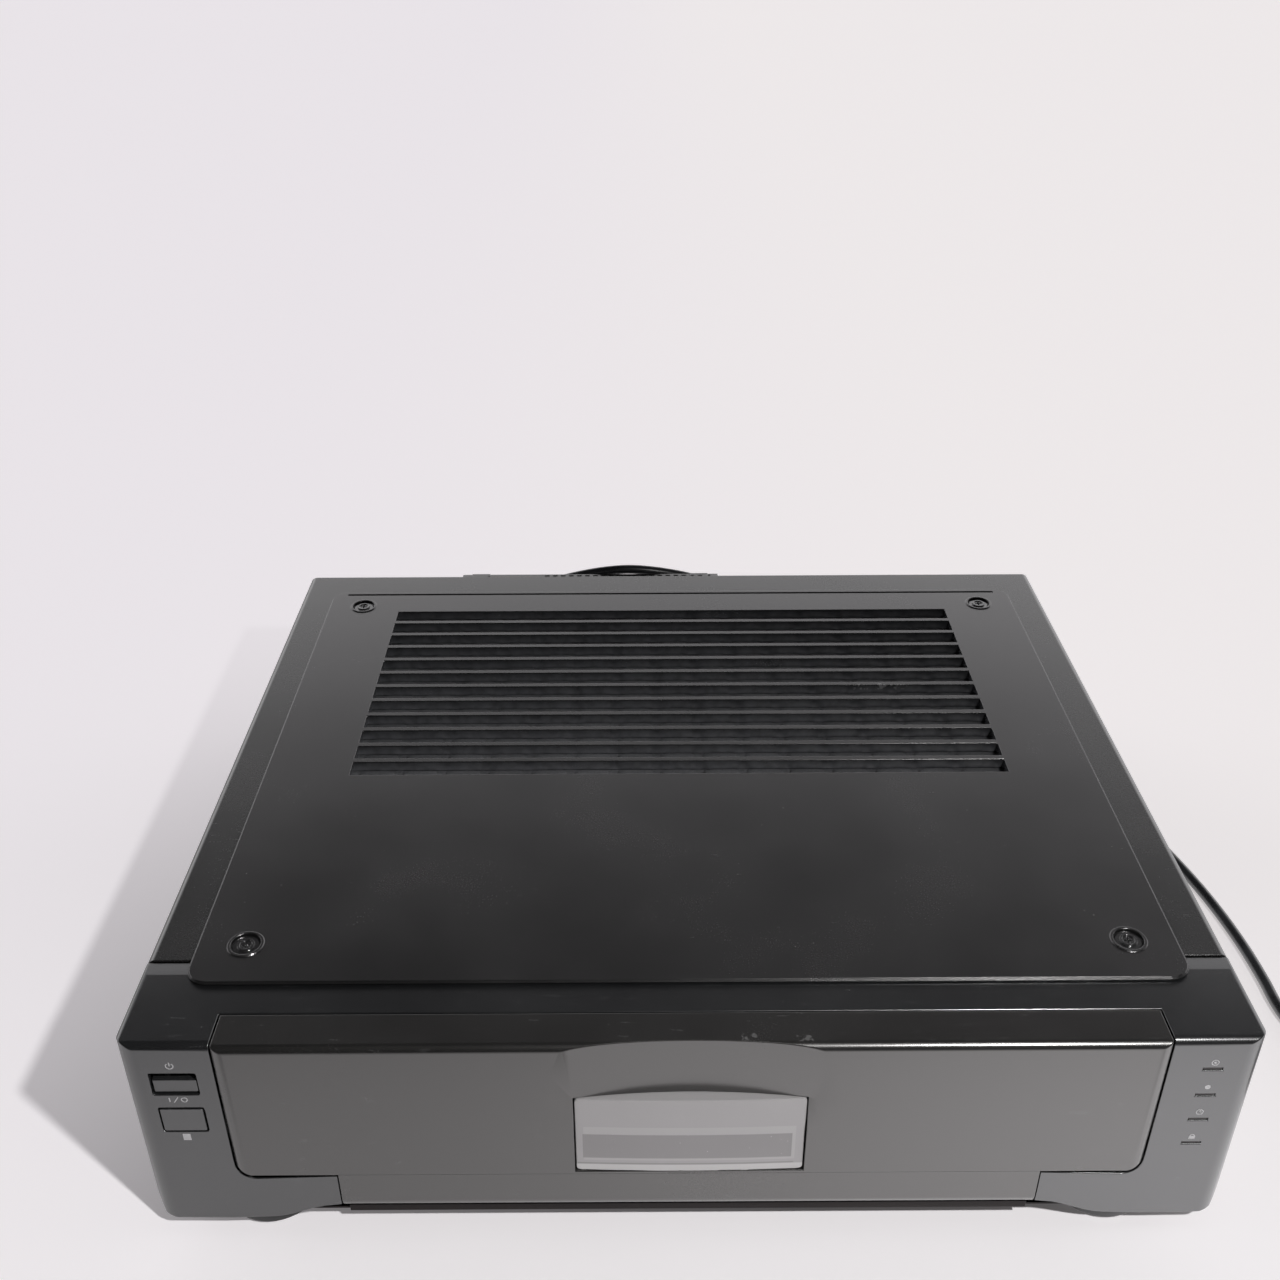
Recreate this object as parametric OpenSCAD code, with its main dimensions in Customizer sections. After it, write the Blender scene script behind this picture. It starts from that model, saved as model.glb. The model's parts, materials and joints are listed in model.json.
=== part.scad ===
// Front-loading video cassette recorder with a flip-down door.
// Sizes below are measured from the front face of the bezel (y = 0, growing
// backwards) and from the top of the cover (z = 0, growing upwards); in_case()
// moves that corner so that the origin is under the middle, on the floor.

/* [Casing] */
// Width across the casing
case_w = 430; // [428:1:434]
// Depth from the front face to the back edge of the cover
cover_back = 368; // [367:1:370]
// Height of the top of the cover over the floor
cover_h = 106; // [106:1:110]
// Depth from the front face to the seam between the bezel and the cover
seam_y = 44.6; // [43:0.2:46]
// Radius of the upright front corners of the bezel
corner_r = 9; // [7:0.5:11]
// Radius along the top edges of the casing
edge_r = 3; // [2:0.5:3.5]
// Wall of the moulded front parts
wall = 3; // [2.6:0.2:3.2]
// Thickness of the steel sheet
sheet = 1.2; // [1:0.1:1.2]

/* [Front door] */
// Half the width of the door
door_half = 178; // [177:0.5:178]
// Depth of the crease between the door and its lower tongue
crease_z = 70.2; // [70:0.1:70.5]
// Half the width of the lower tongue
tongue_half = 138.6; // [137:0.2:138.6]
// Gap round the door
door_gap = 0.7; // [0.6:0.1:0.9]
// Radius of the barrel along the door's bottom edge
barrel_r = 6.3; // [6:0.1:6.3]
// Half the width of the scoop in the door's middle
scoop_half = 58; // [56:1:60]
// Depth of the scoop at its deepest, level with the top of the window
scoop_d = 5.2; // [4.8:0.1:5.6]
// Half the width of the window
window_half = 44.4; // [43.6:0.2:44.8]

/* [Louvred panel] */
// Half the width of the raised panel
panel_half = 196.4; // [194:0.2:198]
// Height of the raised panel over the cover
panel_rise = 2; // [1.6:0.2:2.4]
// Number of louvre slots
louvre_count = 12; // [10:1:12]
// Distance from one louvre slot to the next
louvre_pitch = 13.3; // [13:0.1:13.4]
// Width of a louvre rib
louvre_rib = 3; // [2.4:0.2:3.6]

/* [Tape deck] */
// Radius of the head drum
drum_r = 31; // [30:0.5:31]
// Lean of the head drum to the left, in degrees
drum_lean = 5.9; // [5:0.1:6]
// Distance between the reel spindles
reel_gap = 92; // [92:0.5:93]
// Travel of the cassette basket towards the drum
basket_travel = 74; // [70:1:74]
// Drop of the cassette lift
lift_drop = 22; // [20:1:22]

/* [Mains lead] */
// Diameter of the lead
cord_d = 5.6; // [5.4:0.1:5.8]
// Turns in the stored coil
coil_turns = 5; // [5:1:5]
// Radius of the outermost turn
coil_r = 38.75; // [38:0.25:39]

/* [Hidden] */
$fn = 48;

case_half = case_w / 2;
vent_box_back = 382;
door_proud = 2;
tongue_proud = 1;
middle_y = (vent_box_back - door_proud) / 2;
floor_z = -cover_h;
tray_z = -97;
bezel_z = -98;
fascia_y = 12;
fascia_t = 2.5;
opening_half = door_half + door_gap;
tongue_open = tongue_half + door_gap;

// hinge line of the door
hinge_y = barrel_r - tongue_proud;
hinge_z = -86;
hinge_pin_r = 2.5;
hinge_fit = 0.06;

// window in the scoop
window_top = -29.6;
window_bottom = -68.2;

// buttons beside the door: [left, right, bottom, top]
power_at = [-203.5, -185.6, -25.9, -14.5];
open_at = [-203, -185.4, -46.2, -33];
indicator_z = [-15.1, -29.1, -42.6, -56];
indicator_x = [191.6, 199.3];

// buttons on the inner fascia: [x, z] of the middle
key_w = 21;
key_h = 9;
rewind_at = [-152, -50];
play_at = [-124, -50];
forward_at = [-96, -50];
stop_at = [-152, -66];
pause_at = [-124, -66];
record_at = [-96, -66];
rocker_at = [80, -58];
rocker_pivot_y = 16.2;
dial_at = [138, -49];
ring_r = 21;
dial_r = 12.5;

// louvred panel
panel_front = 30.3;
panel_back = 346.2;
louvre_half = 155.8;
louvre_front = 165.3;
louvre_back = louvre_front + louvre_pitch * louvre_count - louvre_rib;
screw_x = 176.7;
screw_y = [51.4, 328.7];

// feet
foot_x = 172;
foot_y = [23.5, 335];
foot_r = 21.5;
foot_top = bezel_z - 0.4;
pad_h = 1.6;

// cassette path
slot_half = 94.3;
slot_top = -6.2;
slot_bottom = -34.2;
basket_front = 24;
basket_back = 114;
rail_half = 101.3;

// tape deck
deck_top = -64.5;
deck_t = 1.5;
drum_at = [0, 222];
reel_y = 128;
capstan_at = [58, 193];
pinch_pivot = [84, 190];
pinch_start = 237;
pinch_reach = 23;
roller_r = 8;
guide_r = 46;
guide_start = 50;
guide_sweep = 62;

// loading train
tooth_m = 1.5;
ring_teeth = 56;
gear_teeth = 10;
mesh_slack = 0.25;
ring_pitch_r = tooth_m * ring_teeth / 2;
gear_pitch_r = tooth_m * gear_teeth / 2;
gear_reach = ring_pitch_r + gear_pitch_r + mesh_slack;
gear_step = 2 * asin((2 * gear_pitch_r + mesh_slack) / 2 / gear_reach);
loading_angle = 60;
reversing_angle = loading_angle + gear_step;
gear_half_pitch = 180 / gear_teeth;
ring_half_pitch = 180 / ring_teeth;
loading_at = drum_at + gear_reach * [cos(loading_angle), sin(loading_angle)];
reversing_at = drum_at + gear_reach * [cos(reversing_angle), sin(reversing_angle)];
// a gap of the loading gear faces the lower ring, and the others follow from it
loading_phase = loading_angle + 180 + gear_half_pitch;
gear_line = atan2(reversing_at[1] - loading_at[1], reversing_at[0] - loading_at[0]);
reversing_phase = gear_line + 180 - (loading_phase - gear_line) + gear_half_pitch;
upper_ring_phase = reversing_angle + ring_half_pitch
    - (reversing_phase - reversing_angle - 180) * gear_teeth / ring_teeth;
upper_ring_z = -68.5;
lower_ring_z = -71.6;
ring_t = 1.5;
keeper_r = 34.4;
ring_fit = 0.07;

// mains lead: the strain relief's tip, then the route of its middle line
cord_r = cord_d / 2;
gland_at = [-134, 366.5, -80];
gland_len = 28;
cord_floor = floor_z + cord_r;
coil_at = [334, 79];
coil_pitch = 6.2;
coil_layer = 6.1;
coil_start = 180;
route = [
    [-134, 394.5, -80], [-134, 401, -80], [-134, 411.5, -77.3], [-133, 419.5, -70.5],
    [-130, 422.5, -61], [-122.5, 419, -50.5], [-110, 410.5, -39.5], [-95, 401, -29],
    [-78, 393, -19.3], [-60, 388.2, -11.3], [-42, 386, -6.4], [-25, 385.4, -4.6],
    [-8, 386, -6.3], [10, 388.2, -11], [28, 392, -18.6], [45, 397.5, -28.6],
    [60, 403.5, -40], [73.5, 409.5, -52.5], [86, 415, -65.5], [98.5, 420, -78],
    [112, 424, -89.5], [128, 427, -98], [147, 428.5, -102.4], [168, 427.5, cord_floor],
    [190, 422, cord_floor], [210, 411.5, cord_floor], [227, 396, cord_floor],
    [240, 376, cord_floor], [248.5, 352, cord_floor], [253.5, 325, cord_floor],
    [257, 297, cord_floor], [262, 268, cord_floor], [271, 240, cord_floor],
    [279, 210, cord_floor], [284, 184, cord_floor], [287, 158, cord_floor],
    [288, 135, cord_floor], [287.8, 121, cord_floor], [288.8, 110, cord_floor],
    [291.8, 99, cord_floor], [294.8, 90.5, cord_floor],
    [coil_at[0] - coil_r, coil_at[1] + cord_d, cord_floor]
];

body_grey = "#2c2d2f";
steel_black = "#2a2929";
zinc = "#b9bcbd";
board_green = "#2f5a3a";
black_plastic = "#1b1b1d";
pale_grey = "#8f9092";

// points on an arc, from angle a0 to a1
function arc(cx, cy, r, a0, a1, n = 8) =
    [for (i = [0:n]) let (a = a0 + (a1 - a0) * i / n) [cx + r * cos(a), cy + r * sin(a)]];

// outline of a rectangle with rounded corners
function round_rect(x0, y0, x1, y1, r, n = 6) = concat(
    arc(x1 - r, y1 - r, r, 0, 90, n), arc(x0 + r, y1 - r, r, 90, 180, n),
    arc(x0 + r, y0 + r, r, 180, 270, n), arc(x1 - r, y0 + r, r, 270, 360, n));

// the right half of an outline, joined to its mirror image
function both_sides(half) = concat(
    half, [for (i = [len(half) - 1:-1:0]) [-half[i][0], half[i][1]]]);

// a soft S between two heights, as u goes from 0 to 1
function ease(u) = u * u * (3 - 2 * u);

module in_case() {
    translate([0, -middle_y, cover_h]) children();
}

// an outline seen from above, between two heights
module seen_from_top(z0, z1) {
    translate([0, 0, z0]) linear_extrude(z1 - z0) children();
}

// an outline seen from the front, between two depths
module seen_from_front(y0, y1) {
    translate([0, y1, 0]) rotate([90, 0, 0]) linear_extrude(y1 - y0) children();
}

// an outline seen from the side, between two places across
module seen_from_side(x0, x1) {
    translate([x0, 0, 0]) rotate([90, 0, 90]) linear_extrude(x1 - x0) children();
}

module block(low, high) {
    translate(low) cube(high - low);
}

// a round bar along each axis
module bar_x(x0, x1, y, z, r) {
    translate([x0, y, z]) rotate([0, 90, 0]) cylinder(r = r, h = x1 - x0);
}

module bar_y(y0, y1, x, z, r) {
    translate([x, y0, z]) rotate([-90, 0, 0]) cylinder(r = r, h = y1 - y0);
}

module bar_z(z0, z1, x, y, r) {
    translate([x, y, z0]) cylinder(r = r, h = z1 - z0);
}

module left_and_right() {
    children();
    mirror([1, 0, 0]) children();
}

// the door's own outline, grown by g, open at the top; the opening in the bezel is
// lower still under the door's corners, where the gap shows as a dark line
module door_outline(g) {
    corner = 8;
    drop = g > 0 ? 3 : 0;
    inner_drop = g > 0 ? 1.9 : 0;
    low = -crease_z - g;
    polygon(both_sides(concat(
        [[door_half + g, 10]],
        arc(door_half + g - corner, low - drop + corner, corner, 0, -90),
        [[tongue_half + g, low - inner_drop], [tongue_half + g, bezel_z - 2]])));
}

// lower edge of the bezel, seen from the front: a foot-like swell at each side
function bezel_bottom() = concat(
    [[case_half - 1.5, -88], [case_half - 3.5, -96.3]],
    [[case_half - 8, -97.6], [184, bezel_z], [168, bezel_z + 0.6]],
    [for (u = [0.15:0.17:0.85]) [168 - 26 * u, bezel_z + 0.6 + 7 * ease(u)]],
    [[142, -90.4], [tongue_open, -90]]);

module front_bezel() color(body_grey) in_case() {
    cheek = 2.5;
    difference() {
        intersection() {
            seen_from_front(0, seam_y - 0.3)
                polygon(both_sides(concat(
                    arc(case_half - edge_r, -edge_r, edge_r, 90, 0), bezel_bottom())));
            seen_from_top(bezel_z - 1, 1)
                polygon(both_sides(concat(
                    [[case_half, seam_y + 1]],
                    arc(case_half - corner_r, corner_r, corner_r, 0, -90))));
            seen_from_side(-case_half - 1, case_half + 1)
                polygon(concat(
                    [[0, bezel_z - 1]], arc(edge_r, -edge_r, edge_r, 180, 90),
                    [[36.5, 0], [seam_y + 1, -0.9], [seam_y + 1, bezel_z - 1]]));
        }
        // the hollow behind the face, left with walls round the door's opening
        difference() {
            block([-case_half + wall, wall, bezel_z - 2], [case_half - wall, seam_y + 1, -2.5]);
            seen_from_front(0, 22) intersection() {
                door_outline(door_gap + cheek);
                translate([-case_half, -94]) square([case_w, 91.4]);
            }
            left_and_right() bezel_boss();
        }
        seen_from_front(-2, 60) intersection() {
            door_outline(door_gap);
            translate([-case_half, bezel_z - 4]) square([case_w, -bezel_z + 1.5]);
        }
        block([-opening_half, -2, -4], [opening_half, 16, 2]);
        left_and_right() bar_x(tongue_open - 2, tongue_open + 4.1, hinge_y, hinge_z,
            hinge_pin_r + hinge_fit);
        for (b = [power_at, open_at])
            seen_from_front(-1, wall + 1) polygon(round_rect(b[0], b[2], b[1], b[3], 0.8, 3));
        for (z = indicator_z)
            block([indicator_x[0], -1, z - 0.65], [indicator_x[1], wall + 1, z + 0.65]);
    }
}

// thick ear in each lower corner that holds the door's hinge pin
module bezel_boss() {
    block([tongue_open, wall - 1, hinge_z - 5], [tongue_open + 4, 11, hinge_z + 5]);
}

module inner_fascia() color(body_grey) in_case() {
    difference() {
        union() {
            seen_from_front(fascia_y, fascia_y + fascia_t) intersection() {
                door_outline(door_gap);
                translate([-case_half, -91]) square([case_w, 87.7]);
            }
            // ears for the rocker's pins
            for (x = [rocker_at[0] - 8, rocker_at[0] + 8])
                block([x - 1, fascia_y + 2, rocker_at[1] - 2.6],
                    [x + 1, rocker_pivot_y + 2.4, rocker_at[1] + 2.6]);
            // ears for the flap's pins
            left_and_right() block([96.8, fascia_y + 1, -9], [98.6, 20.4, -2.9]);
            // collars that guide the keys
            for (k = [rewind_at, play_at, forward_at, stop_at, pause_at, record_at])
                key_shape(k, 1.4, fascia_y - 0.8, fascia_y + 1);
            bar_y(fascia_y - 1.5, fascia_y + 1, dial_at[0], dial_at[1], ring_r + 2.2);
        }
        block([-slot_half, 5, slot_bottom], [slot_half, 16, slot_top]);
        block([-44, 5, -64], [44, 16, -46]);
        for (k = [rewind_at, play_at, forward_at, stop_at, pause_at, record_at])
            key_shape(k, 0.4, 5, 16);
        block([rocker_at[0] - 6.4, 5, rocker_at[1] - 13.4],
            [rocker_at[0] + 6.4, 16, rocker_at[1] + 13.4]);
        bar_y(fascia_y - 3, fascia_y + 1.3, dial_at[0], dial_at[1], ring_r + 0.5);
        bar_y(fascia_y - 3, 16, dial_at[0], dial_at[1], 5.06);
        left_and_right() bar_x(96, 99, 17.2, -4.8, 1.26);
        bar_x(rocker_at[0] - 10, rocker_at[0] + 10, rocker_pivot_y, rocker_at[1], 1.26);
    }
}

// a key's outline grown by g, between two depths
module key_shape(at, g, y0, y1) {
    seen_from_front(y0, y1)
        polygon(round_rect(at[0] - key_w / 2 - g, at[1] - key_h / 2 - g,
            at[0] + key_w / 2 + g, at[1] + key_h / 2 + g, 1.5 + g, 4));
}

// a key: cap in front of the fascia, flange and plunger behind it
module key(at) {
    difference() {
        key_shape(at, 0, 8.6, fascia_y + fascia_t + 0.5);
        // finger hollow across the cap
        translate([at[0], 8.6 - 38.4, at[1]]) rotate([0, 90, 0])
            cylinder(r = 39, h = key_w - 4, center = true, $fn = 96);
    }
    key_shape(at, 1.2, fascia_y + fascia_t + 0.3, 16);
}

module play_button() color(pale_grey) in_case() key(play_at);
module stop_button() color(pale_grey) in_case() key(stop_at);
module rewind_button() color(pale_grey) in_case() key(rewind_at);
module forward_button() color(pale_grey) in_case() key(forward_at);
module pause_button() color(pale_grey) in_case() key(pause_at);
module record_button() color("#8a2f2c") in_case() key(record_at);

// a rocker for the channels: two crowned halves about a pivot across its middle
module channel_rocker() color(pale_grey) in_case() {
    seen_from_side(rocker_at[0] - 6, rocker_at[0] + 6)
        polygon([
            [8.8, rocker_at[1] - 12.6], [9.6, rocker_at[1] - 6], [10.4, rocker_at[1]],
            [9.6, rocker_at[1] + 6], [8.8, rocker_at[1] + 12.6], [15, rocker_at[1] + 12.2],
            [17.6, rocker_at[1] + 3], [17.6, rocker_at[1] - 3], [15, rocker_at[1] - 12.2]
        ]);
    bar_x(rocker_at[0] - 8.6, rocker_at[0] + 8.6, rocker_pivot_y, rocker_at[1], 1.2);
}

module shuttle_ring() color(black_plastic) in_case() {
    translate([dial_at[0], 0, dial_at[1]]) rotate([-90, 0, 0]) difference() {
        union() {
            rotate_extrude($fn = 96) polygon([
                [dial_r + 0.4, 13], [dial_r + 0.4, 8], [15, 7], [18.5, 6.4],
                [ring_r - 0.8, 6.6], [ring_r, 7.6], [ring_r, 13]]);
            // finger notch ridge on the rim
            translate([-1.2, -19.8, 5.6]) cube([2.4, 5, 2]);
        }
        for (a = [0:10:350]) rotate(a)
            translate([ring_r + 0.5, 0, 5]) cylinder(r = 0.9, h = 9, $fn = 16);
    }
}

module jog_dial() color(pale_grey) in_case() {
    translate([dial_at[0], 0, dial_at[1]]) rotate([-90, 0, 0]) difference() {
        rotate_extrude($fn = 96) polygon([
            [0, 8.4], [8, 7.9], [dial_r - 1, 6.8], [dial_r, 7.6],
            [dial_r, 11.4], [5, 11.4], [5, 17.4], [0, 17.4]]);
        // fingertip dimple
        translate([0, -7.6, 2.6]) sphere(r = 5.6, $fn = 48);
    }
}

module display_lens() color("#101214") in_case()
    block([-44, fascia_y - 0.6, -64], [44, fascia_y + 1.6, -46]);

module display_module() color("#3b4a4c") in_case() {
    block([-42, 14.9, -63], [42, 20.4, -47]);
    for (x = [-38:4:38]) block([x - 0.3, 20.4, -65], [x + 0.3, 21, -63.5]);
}

module front_board() color(board_green) in_case() {
    block([-174, 21, -72.5], [174, 22.6, -38]);
    block([-136, 21, -91], [136, 22.6, -72.5]);
    // tact switches behind the keys and the rocker
    for (k = [rewind_at, play_at, forward_at, stop_at, pause_at, record_at])
        block([k[0] - 3, 17.4, k[1] - 3], [k[0] + 3, 21, k[1] + 3]);
    for (s = [-1, 1]) block([rocker_at[0] - 3, 17.9, rocker_at[1] + 9 * s - 3],
        [rocker_at[0] + 3, 21, rocker_at[1] + 9 * s + 3]);
    // encoder of the dial
    block([dial_at[0] - 8, 18, dial_at[1] - 8], [dial_at[0] + 8, 21, dial_at[1] + 8]);
    // brackets that seat the board on the tray
    for (x = [-120, 120]) block([x - 4, 22.6, -95.8], [x + 4, 24, -76]);
    // small boards behind the side buttons and the indicators
    block([-206, 9, -52], [-opening_half - 2.5, 10.6, -10]);
    for (b = [power_at, open_at])
        block([b[0] + 6, 6.9, b[2] + 3], [b[1] - 6, 9, b[3] - 3]);
    block([opening_half + 2.5, 7, -62], [206, 8.6, -8]);
    // seats against the bezel's cheeks
    left_and_right() block([174, 21, -60], [opening_half, 22, -42]);
}

module indicator_lights() color("#6a1f1c") in_case() {
    for (z = indicator_z)
        block([indicator_x[0], 0.6, z - 0.65], [indicator_x[1], 5, z + 0.65]);
    block([indicator_x[0] - 1.6, 5, -60], [indicator_x[1] + 1.6, 7, -11]);
    block([indicator_x[0] + 1, 3, -11.8], [indicator_x[1] - 1, 5, -10.8]);
    block([indicator_x[0] + 1, 3, -60], [indicator_x[1] - 1, 5, -59]);
}

// a side button of the bezel: cap in its hole, flange behind the face
module side_button(b, sunk) {
    g = 0.6;
    seen_from_front(sunk, wall + 2)
        polygon(round_rect(b[0] + g, b[2] + g, b[1] - g, b[3] - g, 0.6, 3));
    block([b[0] - 1, wall + 1.2, b[2] - 1], [b[1] + 1, wall + 2.4, b[3] + 1]);
}

module power_button() color(body_grey) in_case() difference() {
    side_button(power_at, 1);
    // the upper part of the cap is a deep hollow for the fingertip
    seen_from_side(power_at[0] - 1, power_at[1] + 1)
        polygon([[0.5, power_at[3] - 4.6], [4, power_at[3] - 3.4],
            [4, power_at[3]], [0.5, power_at[3]]]);
}

module open_button() color(body_grey) in_case() side_button(open_at, -0.1);

// the scoop's surface: a wide cylinder that leans by a, deepest at its foot
module scoop_cut(lean, z0, z1) {
    scoop_r = (scoop_half * scoop_half + scoop_d * scoop_d) / 2 / scoop_d;
    intersection() {
        translate([0, scoop_d - door_proud - scoop_r / cos(lean), window_top]) rotate([lean, 0, 0])
            cylinder(r = scoop_r, h = 300, center = true, $fn = 360);
        block([-80, -20, z0], [80, 20, z1]);
    }
}

module door_panel() color(body_grey) in_case() {
    lip_t = 2.2;
    face = -door_proud;
    back = 1.4;
    bend = 5;
    difference() {
        union() {
            intersection() {
                // front sheet with its rounded top, the lip over the casing and the tongue
                seen_from_side(-door_half, door_half) polygon(concat(
                    [[-tongue_proud, hinge_z], [-tongue_proud, -crease_z - 0.6],
                    [face + 0.5, -crease_z], [face, -crease_z + 0.5]],
                    arc(face + edge_r, -edge_r, edge_r, 180, 90),
                    [[15.5, 0], [15.5, -lip_t], [face + 7, -lip_t], [back, -6], [back, hinge_z]]));
                seen_from_front(-3, 20) door_outline(0);
                // the face bends back by its own height over the bezel at both ends
                seen_from_top(-110, 5) polygon(both_sides(concat(
                    [[door_half, 20], [door_half, 0.4]],
                    [for (a = [15:15:90])
                        [door_half - bend + bend * cos(a), 0.4 - (door_proud + 0.4) * sin(a)]])));
            }
            // thicker back behind the scoop
            seen_from_top(-crease_z, -lip_t / 2) polygon(both_sides([[scoop_half + 8, 1], [40, 9]]));
            // stiffening ribs
            for (z = [-20, -62]) left_and_right()
                block([scoop_half + 6, 1, z - 1], [door_half - 4, 4.2, z + 1]);
            bar_x(-tongue_half, tongue_half, hinge_y, hinge_z, barrel_r);
            bar_x(-tongue_half - 4.2, tongue_half + 4.2, hinge_y, hinge_z, hinge_pin_r);
        }
        scoop_cut(3.05, window_top, 10);
        scoop_cut(-7.3, -crease_z - 2, window_top);
        block([-window_half - 0.4, -9, window_bottom - 0.1],
            [window_half + 0.4, 12, window_top + 0.4]);
    }
}

module door_window() color("#5c5f61") in_case() {
    bulge = 0.9;
    bulge_r = (window_half * window_half + bulge * bulge) / 2 / bulge;
    slice = 0.1;
    top_front = -1;
    intersection() {
        // front leans out towards the bottom, until it is as proud as the door
        hull() for (e = [[window_bottom, -door_proud], [window_top - slice, top_front]])
            seen_from_top(e[0], e[0] + slice) polygon(concat(
                arc(0, e[1] + bulge_r, bulge_r, -90 - asin(window_half / bulge_r),
                    -90 + asin(window_half / bulge_r), 24),
                [[window_half, 6.4], [-window_half, 6.4]]));
        seen_from_front(-5, 10)
            polygon(round_rect(-window_half, window_bottom, window_half, window_top, 1.6, 4));
    }
    // clips into the door on both sides
    left_and_right() block([window_half - 0.1, 4.4, -60], [window_half + 0.4, 6.4, -38]);
}

module window_mask() color("#77797b") in_case() difference() {
    block([-window_half, 6.4, window_bottom], [window_half, 7.2, window_top]);
    block([-41.6, 6, -66], [41.6, 8, -51.6]);
}

module window_filter() color("#3c3e40") in_case() {
    block([-41.6, 6.4, -66], [41.6, 7.2, -51.6]);
}

// flap behind the cassette slot, hung from its top edge
module cassette_flap() color(black_plastic) in_case() {
    block([-slot_half - 0.1, 15.4, -34], [slot_half + 0.1, 17.2, -4.8]);
    bar_x(-slot_half - 1, slot_half + 1, 17.2, -4.8, 1.8);
    bar_x(-98.6, 98.6, 17.2, -4.8, 1.2);
}

module top_cover() color(steel_black) in_case() {
    outer = edge_r + 0.5;
    difference() {
        seen_from_front(seam_y, cover_back) polygon(concat(
            [[case_half, -94]], arc(case_half - outer, -outer, outer, 0, 90, 6),
            arc(-case_half + outer, -outer, outer, 90, 180, 6), [[-case_half, -94]],
            [[-case_half + sheet, -94]],
            arc(-case_half + outer, -outer, outer - sheet, 180, 90, 6),
            arc(case_half - outer, -outer, outer - sheet, 90, 0, 6),
            [[case_half - sheet, -94]]));
        // window under the louvres
        block([-160, 160, -5], [160, 326, 1]);
        for (x = [-screw_x, screw_x]) for (y = screw_y) bar_z(-6, 1, x, y, 2.4);
        // cooling slots low in each side
        for (i = [0:11]) for (z = [-62, -80])
            block([-case_half - 1, 190 + 12 * i, z], [case_half + 1, 196 + 12 * i, z + 14]);
        // holes for the side and rear screws
        for (y = [90, 300]) bar_x(-case_half - 1, case_half + 1, y, -84, 1.9);
    }
}

module louvre_panel() color(body_grey) in_case() {
    lip = 0.6;
    difference() {
        union() {
            seen_from_top(lip, panel_rise - 0.6)
                polygon(round_rect(-panel_half, panel_front, panel_half, panel_back, 9));
            seen_from_top(panel_rise - 0.6, panel_rise)
                polygon(round_rect(-panel_half + lip, panel_front + lip,
                    panel_half - lip, panel_back - lip, 8.4));
            // narrower foot that makes the dark line round the edge
            seen_from_top(0, lip)
                polygon(round_rect(-panel_half + 1, panel_front + 1,
                    panel_half - 1, panel_back - 1, 8));
            block([-159, louvre_front - 2.2, -3.2], [159, louvre_back + 2.2, 0]);
            for (x = [-screw_x, screw_x]) for (y = screw_y)
                bar_z(panel_rise - 0.2, panel_rise + 0.5, x, y, 7.25);
        }
        for (i = [0:louvre_count - 1])
            block([-louvre_half, louvre_front + louvre_pitch * i, -5],
                [louvre_half, louvre_front + louvre_pitch * (i + 1) - louvre_rib, 4]);
        for (x = [-screw_x, screw_x]) for (y = screw_y) {
            bar_z(panel_rise - 1.4, panel_rise + 1, x, y, 6);
            bar_z(-1, panel_rise, x, y, 2.4);
        }
    }
}

module vent_sheet() color(steel_black) in_case() {
    low = -4.8;
    floor_t = 0.8;
    difference() {
        union() {
            block([-168, 152, -2], [168, 334, -sheet]);
            block([-160, 160, low], [160, 326, -sheet]);
        }
        block([-159.2, 160.8, low + floor_t], [159.2, 325.2, 0]);
        // a row of long holes under each louvre slot
        for (i = [0:louvre_count - 1]) for (j = [-7:7])
            block([20.6 * j - 8.6, louvre_front + louvre_pitch * i + 2.2, low - 1],
                [20.6 * j + 8.6, louvre_front + louvre_pitch * i + 8.2, low + 1]);
    }
}

// one of the four large screws of the raised panel
module big_screw() {
    difference() {
        union() {
            cylinder(r = 5.15, h = 0.8);
            translate([0, 0, 0.8]) cylinder(r = 3.45, h = 0.7);
            translate([0, 0, -7.4]) cylinder(r = 2, h = 7.4);
        }
        translate([0, 0, 1]) cylinder(r = 2.5, h = 1);
        for (a = [0, 90]) rotate(a) translate([-1.8, -0.4, 0]) cube([3.6, 0.8, 2]);
    }
}

module top_screws() color("#161617") in_case()
    for (x = [-screw_x, screw_x]) for (y = screw_y)
        translate([x, y, panel_rise - 1.4]) big_screw();

// a pan-head screw lying along +x from its seat
module side_screw() {
    rotate([0, 90, 0]) {
        cylinder(r = 1.6, h = 7);
        translate([0, 0, 7]) rotate_extrude() polygon([[0, 0], [3.6, 0], [3.4, 1.1], [2, 1.9], [0, 2.1]]);
    }
}

module cover_screws() color("#161617") in_case() {
    for (y = [90, 300]) left_and_right() translate([case_half - 7, y, -84]) side_screw();
    for (x = [-196, 60, 196]) translate([x, 359.5, -9]) rotate([0, 0, 90]) side_screw();
    for (x = [-196, 196]) translate([x, 359.5, -88]) rotate([0, 0, 90]) side_screw();
}

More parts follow.
